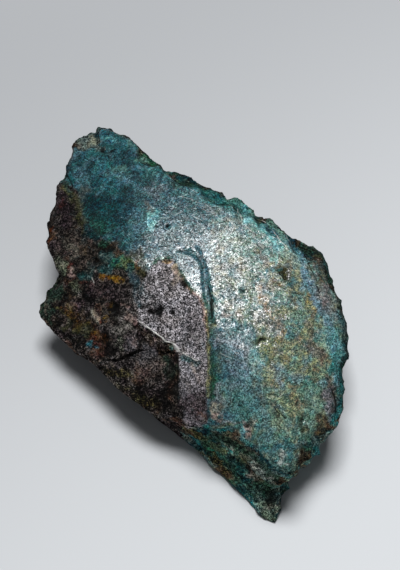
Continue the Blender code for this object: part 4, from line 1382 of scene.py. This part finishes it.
# %% The relief put together
height = minus(plus(plus(chips, breaks), sugar), times(pit_hole, given["Pit depth"]))
offset = scaled(normal, times(height, field("free")))
pits_stored = add(relief, "GeometryNodeStoreNamedAttribute", {
    "Geometry": given["Geometry"], "Name": "pit", "Value": pit_hole,
}).outputs[0]
moved = add(relief, "GeometryNodeSetPosition", {"Geometry": pits_stored, "Offset": offset}).outputs[0]
real = add(relief, "GeometryNodeRealizeInstances", {"Geometry": moved}).outputs[0]
covered = add(relief, "GeometryNodeSetMaterial", {"Geometry": real, "Material": given["Material"]})
add(relief, "NodeGroupOutput", {"Geometry": covered.outputs[0]})
print("relief tree:", len(relief.nodes), "nodes")

# %% [markdown]
# ## The finish begins with noise
# One material holds every mineral. It starts from three noises of different grain, each with three
# unrelated channels, and everything below is a sum of them. Object coordinates are turned into
# millimetres first, so that every size is one that could be measured on the stone.

# %% Noise for the grains
finish = bpy.data.materials.new("turquoise_in_matrix_finish")
finish.use_nodes = True
tree = finish.node_tree
tree.nodes.clear()
spot = add(tree, "ShaderNodeTexCoord").outputs["Object"]
spot = add(tree, "ShaderNodeMapping", {"Vector": spot, "Scale": (1 / MM,) * 3}).outputs[0]


def attribute(name):
    return add(tree, "ShaderNodeAttribute", attribute_name=name).outputs["Fac"]


def channels(colour_socket):
    return add(tree, "ShaderNodeSeparateColor", {0: colour_socket}).outputs


def clouds(size, detail, low=0.3, high=0.7):
    """Noise of a given size in millimetres, as three unrelated channels from 0 to 1."""
    ends = {"Vector": spot, "Scale": 1.0 / size, "Detail": detail, "Roughness": 0.6}
    split = channels(add(tree, "ShaderNodeTexNoise", ends).outputs["Color"])
    return [add(tree, "ShaderNodeMapRange", {0: one, 1: low, 2: high}).outputs[0] for one in split]


broad = clouds(3.0, 5)
coarse = clouds(1.1, 3)
fine = clouds(0.5, 2, low=0.36, high=0.64)
drift = add(tree, "ShaderNodeCombineXYZ", {0: broad[0], 1: broad[1], 2: broad[2]}).outputs[0]
print("three noises, with", len(broad + coarse + fine), "channels")

# %% [markdown]
# ## Dark and light grains
# Two sums of noise, a soft one and a sharp one, are blended by the stored fineness. Where the result is
# above the cut that the stored share gives, a light grain shows, and below it a dark one. In a fine
# mineral the edge between the two is sharp, and in a coarse one it is blurred. So one stored pair of
# colours becomes thousands of grains.

# %% Dark and light grains


def blend(share, first, second):
    return add(tree, "ShaderNodeMix", {0: share, 2: first, 3: second}).outputs[0]


def blend_colours(share, first, second):
    inputs = {0: share, 6: first, 7: second}
    return add(tree, "ShaderNodeMix", inputs, data_type="RGBA").outputs[2]


def mixed(*parts):
    """A weighted sum of (value, weight) pairs."""
    total = times(*parts[0])
    for channel, weight in parts[1:]:
        total = times_plus(channel, weight, total)
    return total


dark_grains = add(tree, "ShaderNodeAttribute", attribute_name="dark grains").outputs
light_grains = add(tree, "ShaderNodeAttribute", attribute_name="light grains").outputs
share, fineness = dark_grains["Alpha"], light_grains["Alpha"]
soft_grain = mixed((broad[0], 0.4), (coarse[0], 0.3), (fine[0], 0.3))
sharp_grain = mixed((coarse[1], 0.45), (fine[1], 0.55))
grain = blend(fineness, soft_grain, sharp_grain)
cut = minus(1.0, share)
blur = blend(fineness, 0.24, 0.06)
light_share = add(tree, "ShaderNodeMapRange", {
    0: grain, 1: minus(cut, blur), 2: plus(cut, blur),
}, interpolation_type="SMOOTHSTEP").outputs[0]
skin = blend_colours(light_share, dark_grains["Color"], light_grains["Color"])
print("grains:", len(tree.nodes), "nodes")

# %% [markdown]
# ## Crazing
# Old turquoise is crazed: fine lines run through it and meet like the cracks in dried mud. They are the
# walls between Voronoi cells, bent by the broad noise, and they come and go with it. One net is dark and
# another, with smaller cells, is light.

# %% Crazing


def voronoi(size, where, **settings):
    """Cells of a given size in millimetres."""
    return add(tree, "ShaderNodeTexVoronoi", {"Vector": where, "Scale": 1 / size}, **settings).outputs


def crazing(size, shift, width):
    """Thin lines between cells of a given size, bent by the broad noise."""
    bent = shifted(shifted(spot, scaled(drift, 0.5 * size)), (shift, shift, 0))
    wall = voronoi(size, bent, feature="DISTANCE_TO_EDGE")["Distance"]
    return between(wall, 0.3 * width / size, width / size, 1.0, 0.0)


dark_craze = times(crazing(3.4, 0.0, 0.22), between(broad[0], 0.35, 0.6))
light_craze = times(crazing(2.3, 5.0, 0.26), between(broad[1], 0.4, 0.65))
print("crazing:", len(tree.nodes), "nodes")

# %% [markdown]
# ## Tint
# No two grains have quite the same colour, so hue, strength and brightness drift a little. Cells of
# about half a millimetre add a salt of lighter and darker grains, strongest in the fine minerals, and
# the light crazing brightens the face.

# %% Tint
SALT_SIZE = 0.58  # millimetres
cell = voronoi(SALT_SIZE, spot)
cell_tint = channels(cell["Color"])
rubbed = attribute("rubbed")
grainy = attribute("grainy")
plain_face = times_plus(grainy, -1.0, rubbed, clamp=True)  # rubbed, and not matrix
salt = minus(mixed((cell_tint[0], 0.6), (fine[2], 0.4)), 0.5)
salt = times(salt, blend(fineness, 1.0, 2.2))
salt = times(salt, times_plus(plain_face, -0.2, 1.0))
salt = times_plus(times(light_craze, plain_face), 0.45, salt)
tint = add(tree, "ShaderNodeHueSaturation", {
    "Hue": between(broad[1], 0.0, 1.0, 0.472, 0.528),
    "Saturation": between(coarse[2], 0.0, 1.0, 0.92, 1.22),
    "Value": plus(salt, between(broad[2], 0.1, 0.9, 0.84, 1.16)),
    "Color": skin,
}).outputs[0]
print("tint:", len(tree.nodes), "nodes")

# %% [markdown]
# ## Specks, creases and hairlines
# Specks are black grains at a set spacing, some of them missing. Creases are fine folded lines, found
# where a noise passes through its middle value. Hairlines lie where the stored signed distance passes
# through zero. All of them darken the skin, the pits and hollows with painted shade, and pale painted
# highlights along the ridge, the crest and the scratches go on top.

# %% Specks, creases and hairlines
BLACK = (0.003, 0.003, 0.003, 1)
PAINTED_GLINT_COLOUR = (0.55, 0.55, 0.52, 1)


def specks(spacing, width, missing):
    """Small dark dots at a given spacing in millimetres; a share of them is missing."""
    dots = voronoi(spacing, spot)
    radius = times_plus(minus(fine[0], 0.5), 0.25 * spacing, dots["Distance"])
    kept = between(channels(dots["Color"])[0], missing, missing + 0.05)
    return times(between(radius, 0.4 * width / spacing, 0.7 * width / spacing, 1.0, 0.0), kept)


def creases(size, width):
    middle = maths("ABSOLUTE", minus(clouds(size, 2)[0], 0.5))
    return between(middle, 0.02, width, 1.0, 0.0)


def hairline(kind):
    offset = maths("ABSOLUTE", attribute(kind + " side"))
    offset = times_plus(minus(coarse[0], 0.5), 0.9, offset)
    return times(between(offset, 0.6, 1.5, 1.0, 0.0), attribute(kind + " near"))


speck = larger(specks(0.9, 0.5, 0.3), specks(1.7, 0.8, 0.45))
crease = larger(creases(1.6, 0.12), times(creases(0.8, 0.15), 0.7))
crease = times(crease, times_plus(rubbed, 0.35, 0.65))
hairline_crack, painted_glint = hairline("crack"), hairline("painted_glint")
# Painted shade: pits, narrow cracks and pressed hollows are darkened toward black.
hollow = larger(times(attribute("pit"), 0.75), attribute("crack"), clamp=True)
dark = larger(times(hollow, 0.85), times(hairline_crack, 0.92))
dark = larger(dark, times(crease, 0.45))
dark = larger(dark, times(dark_craze, times(plain_face, 0.45)))
dark = larger(dark, times(speck, times_plus(fineness, 0.5, 0.4)))
# Painted highlight: the glint lines are blended toward a pale colour over the skin.
skin = blend_colours(times(painted_glint, 0.8), blend_colours(dark, tint, BLACK), PAINTED_GLINT_COLOUR)
print("dark lines:", len(tree.nodes), "nodes")

# %% [markdown]
# ## Scratches
# Rubbing left straight, parallel scratches in two directions. A noise stretched along one axis is a
# bundle of such lines, and turning the coordinates first sets their direction. They show only where the
# field `scratched` allows, lighter and shinier than the skin around them.

# %% Scratches
SCRATCHED_SKIN = (0.3, 0.4, 0.41, 1)


def scratches(turn, shift):
    inputs = {"Vector": spot, "Rotation": (0, 0, math.radians(turn)), "Location": (shift, 0, 0)}
    turned = add(tree, "ShaderNodeMapping", inputs).outputs[0]
    stretched = add(tree, "ShaderNodeMapping", {"Vector": turned, "Scale": (0.06, 2.2, 0.2)})
    inputs = {"Vector": stretched.outputs[0], "Scale": 1.0, "Detail": 2.0}
    return between(add(tree, "ShaderNodeTexNoise", inputs).outputs["Fac"], 0.61, 0.69)


lines = larger(scratches(32, 3.0), scratches(-24, 9.0))
lines = times(lines, times(attribute("scratched"), between(broad[2], 0.45, 0.8)))
skin = blend_colours(times(lines, 0.45), skin, SCRATCHED_SKIN)
print("scratches:", len(tree.nodes), "nodes")

# %% [markdown]
# ## Bump and glinting plates
# The same sums drive a small bump, so a dark grain is also a tiny hollow. The rubbed face glints as
# crushed foil does, because each grain was cut at its own angle. Two sets of Voronoi cells, small ones
# and crinkled plates of about two millimetres, tilt the normal by their random colours.

# %% Bump and glinting plates
RAW_BUMP, RUBBED_BUMP = 0.26 * MM, 0.018 * MM
PLATE_SIZE, CRINKLE = 1.7, 1.6  # millimetres
TILT = 0.22
smooth = times(rubbed, times_plus(grainy, -0.5, 1.0))
tooth = mixed((grain, 0.6), (fine[0], 0.5), (lines, -0.5), (crease, -0.5), (hairline_crack, -1.5))
bump = add(tree, "ShaderNodeBump", {
    "Height": tooth, "Strength": 1.0, "Distance": blend(smooth, RAW_BUMP, RUBBED_BUMP),
}).outputs[0]
plate = voronoi(PLATE_SIZE, shifted(spot, scaled(drift, CRINKLE)))
plate_tint = channels(plate["Color"])
facets = scaled(shifted(blend_colours(0.5, cell["Color"], plate["Color"]), CENTRED), TILT)
tilted = add(tree, "ShaderNodeVectorMath", {0: shifted(bump, facets)}, operation="NORMALIZE").outputs[0]
print("bump:", len(tree.nodes), "nodes")

# %% [markdown]
# ## A thin, uneven polish
# The shine of the rubbed face is a thin coat over a rough body, as skin oil and wax leave it. Light
# grains and scratches take more of it, and cracks, matrix and raw rock take none. The body under it has
# a low index of refraction, so that the raw sides stay as dark as they should.

# %% A thin, uneven polish
FULLY_RAW_GLOSS, GLOSS_RANGE = 0.6, 0.4
dull = attribute("dull")
roughness = times_plus(larger(dark, dull), GLOSS_RANGE, FULLY_RAW_GLOSS, clamp=True)
glitter = mixed(
    (light_share, 0.35), (cell_tint[1], 0.9), (fine[2], 0.75), (plate_tint[1], 0.4), (lines, 0.6),
    (rubbed, -0.47),
)
in_a_line = maths("MINIMUM", times(dark, 1.8), 1.0)
polish = times(minus(1.0, dull, clamp=True), larger(glitter, 0.05))
polish = times(polish, times_plus(in_a_line, -0.85, 1.0), clamp=True)
surface = add(tree, "ShaderNodeBsdfPrincipled", {
    "Base Color": skin, "Roughness": roughness, "Normal": tilted, "Coat Weight": polish,
    "Coat Normal": tilted, "IOR": 1.16, "Coat Roughness": 0.225, "Coat IOR": 1.64,
})
add(tree, "ShaderNodeOutputMaterial", {"Surface": surface.outputs[0]})
print("material:", len(tree.nodes), "nodes")

# %% [markdown]
# ## The finished mesh
# The tree runs once, its result becomes a plain mesh, and the modifier is removed, so the mesh holds
# exactly what is seen. A modifier's input is set by its socket's identifier, before the first run.

# %% Running the tree


def run_tree(obj, node_group, values):
    modifier = obj.modifiers.new(node_group.name, "NODES")
    modifier.node_group = node_group
    for item in node_group.interface.items_tree:
        if item.in_out == "INPUT" and item.name in values:
            modifier[item.identifier] = values[item.name]
    obj.data = plain_mesh(obj)
    obj.modifiers.clear()


run_tree(stone, relief, {"Material": finish})
for polygon in stone.data.polygons:
    polygon.use_smooth = True
print("finished mesh:", len(stone.data.polygons), "faces,", stone.data.materials[:])

# %% [markdown]
# ## Camera
# The stone lies on its back and is seen steeply from above, from its lower side. A long lens keeps its
# outline true, and the camera aims at a point inside the stone, so that it can be moved round it.

# %% Camera
AIM = Vector((3.8, 7.5, 24.0)) * MM
ELEVATION = math.radians(68)
CAMERA_DISTANCE = 0.45  # metres
LENS, SENSOR = 71.05, 36  # millimetres
camera = placed("camera", bpy.data.cameras.new("camera"))
camera.location = AIM + Vector((0, -math.cos(ELEVATION), math.sin(ELEVATION))) * CAMERA_DISTANCE
camera.rotation_euler = (math.radians(90) - ELEVATION, 0, 0)
camera.data.sensor_width, camera.data.lens = SENSOR, LENS
bpy.context.scene.camera = camera
print("camera at", camera.location[:])

# %% [markdown]
# ## Lamp and sky
# One wide soft lamp high above the stone, a little to its far side, gives the rubbed face its sheen.
# The rest is a dim, slightly blue sky that fills the shade.

# %% Lamp and sky
LAMP_SIZE = (0.5, 0.3)  # metres
LAMP_POWER = 22.5  # watts
LAMP_DISTANCE = 1.2  # metres
TOWARD_LAMP = Vector((0.01, 0.368, 0.93)).normalized()
SKY_COLOUR = (0.93, 0.97, 1.0, 1)
SKY_STRENGTH = 0.12
BACKDROP_LIFT = 0.05  # the bare backdrop is a little lighter than the light it gives
lamp = placed("lamp", bpy.data.lights.new("lamp", "AREA"))
lamp.data.shape, lamp.data.energy = "RECTANGLE", LAMP_POWER
lamp.data.size, lamp.data.size_y = LAMP_SIZE
lamp.location = AIM + TOWARD_LAMP * LAMP_DISTANCE
lamp.rotation_euler = (-TOWARD_LAMP).to_track_quat("-Z", "Y").to_euler()

world = bpy.data.worlds.new("sky")
bpy.context.scene.world = world
world.use_nodes = True
sky = world.node_tree.nodes["Background"]
sky.inputs["Color"].default_value = SKY_COLOUR
bare = add(world.node_tree, "ShaderNodeLightPath").outputs["Is Camera Ray"]
world.node_tree.links.new(times_plus(bare, BACKDROP_LIFT, SKY_STRENGTH), sky.inputs["Strength"])
print("lamp", lamp.data.energy, "W at", lamp.location[:])

# %% [markdown]
# ## The floor
# The stone lies on a wide sheet of pale paper, a little darker on the far side. The shade is a soft ramp
# across the sheet, painted in its material, so that it needs no second lamp.

# %% The floor
REACH = 1.6  # metres from the middle to an edge
FAR_SHADE = (0.28, 0.289, 0.302, 1)
NEAR_SHADE = (0.556, 0.574, 0.593, 1)
corners = [(-REACH, -REACH, 0), (REACH, -REACH, 0), (REACH, REACH, 0), (-REACH, REACH, 0)]
floor_mesh = bpy.data.meshes.new("floor")
floor_mesh.from_pydata(corners, [], [(0, 1, 2, 3)])
floor = placed("floor", floor_mesh)
paper = bpy.data.materials.new("pale_paper")
paper.use_nodes = True
sheet = add(paper.node_tree, "ShaderNodeTexCoord").outputs["Object"]
slope = add(paper.node_tree, "ShaderNodeVectorMath", {0: sheet, 1: (1.4, -3.0, 0)}, operation="DOT_PRODUCT")
shade = add(paper.node_tree, "ShaderNodeMix", {
    0: between(slope.outputs["Value"], -0.6, 0.6), 6: FAR_SHADE, 7: NEAR_SHADE,
}, data_type="RGBA").outputs[2]
paper_surface = paper.node_tree.nodes["Principled BSDF"]
paper.node_tree.links.new(shade, paper_surface.inputs["Base Color"])
paper_surface.inputs["Roughness"].default_value = 0.9
floor.data.materials.append(paper)
bpy.context.scene.view_settings.view_transform = "Standard"
print("floor:", 2 * REACH, "m wide")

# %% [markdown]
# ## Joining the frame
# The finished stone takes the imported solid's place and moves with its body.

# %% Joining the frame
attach(stone, "root")
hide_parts("turquoise_stone")
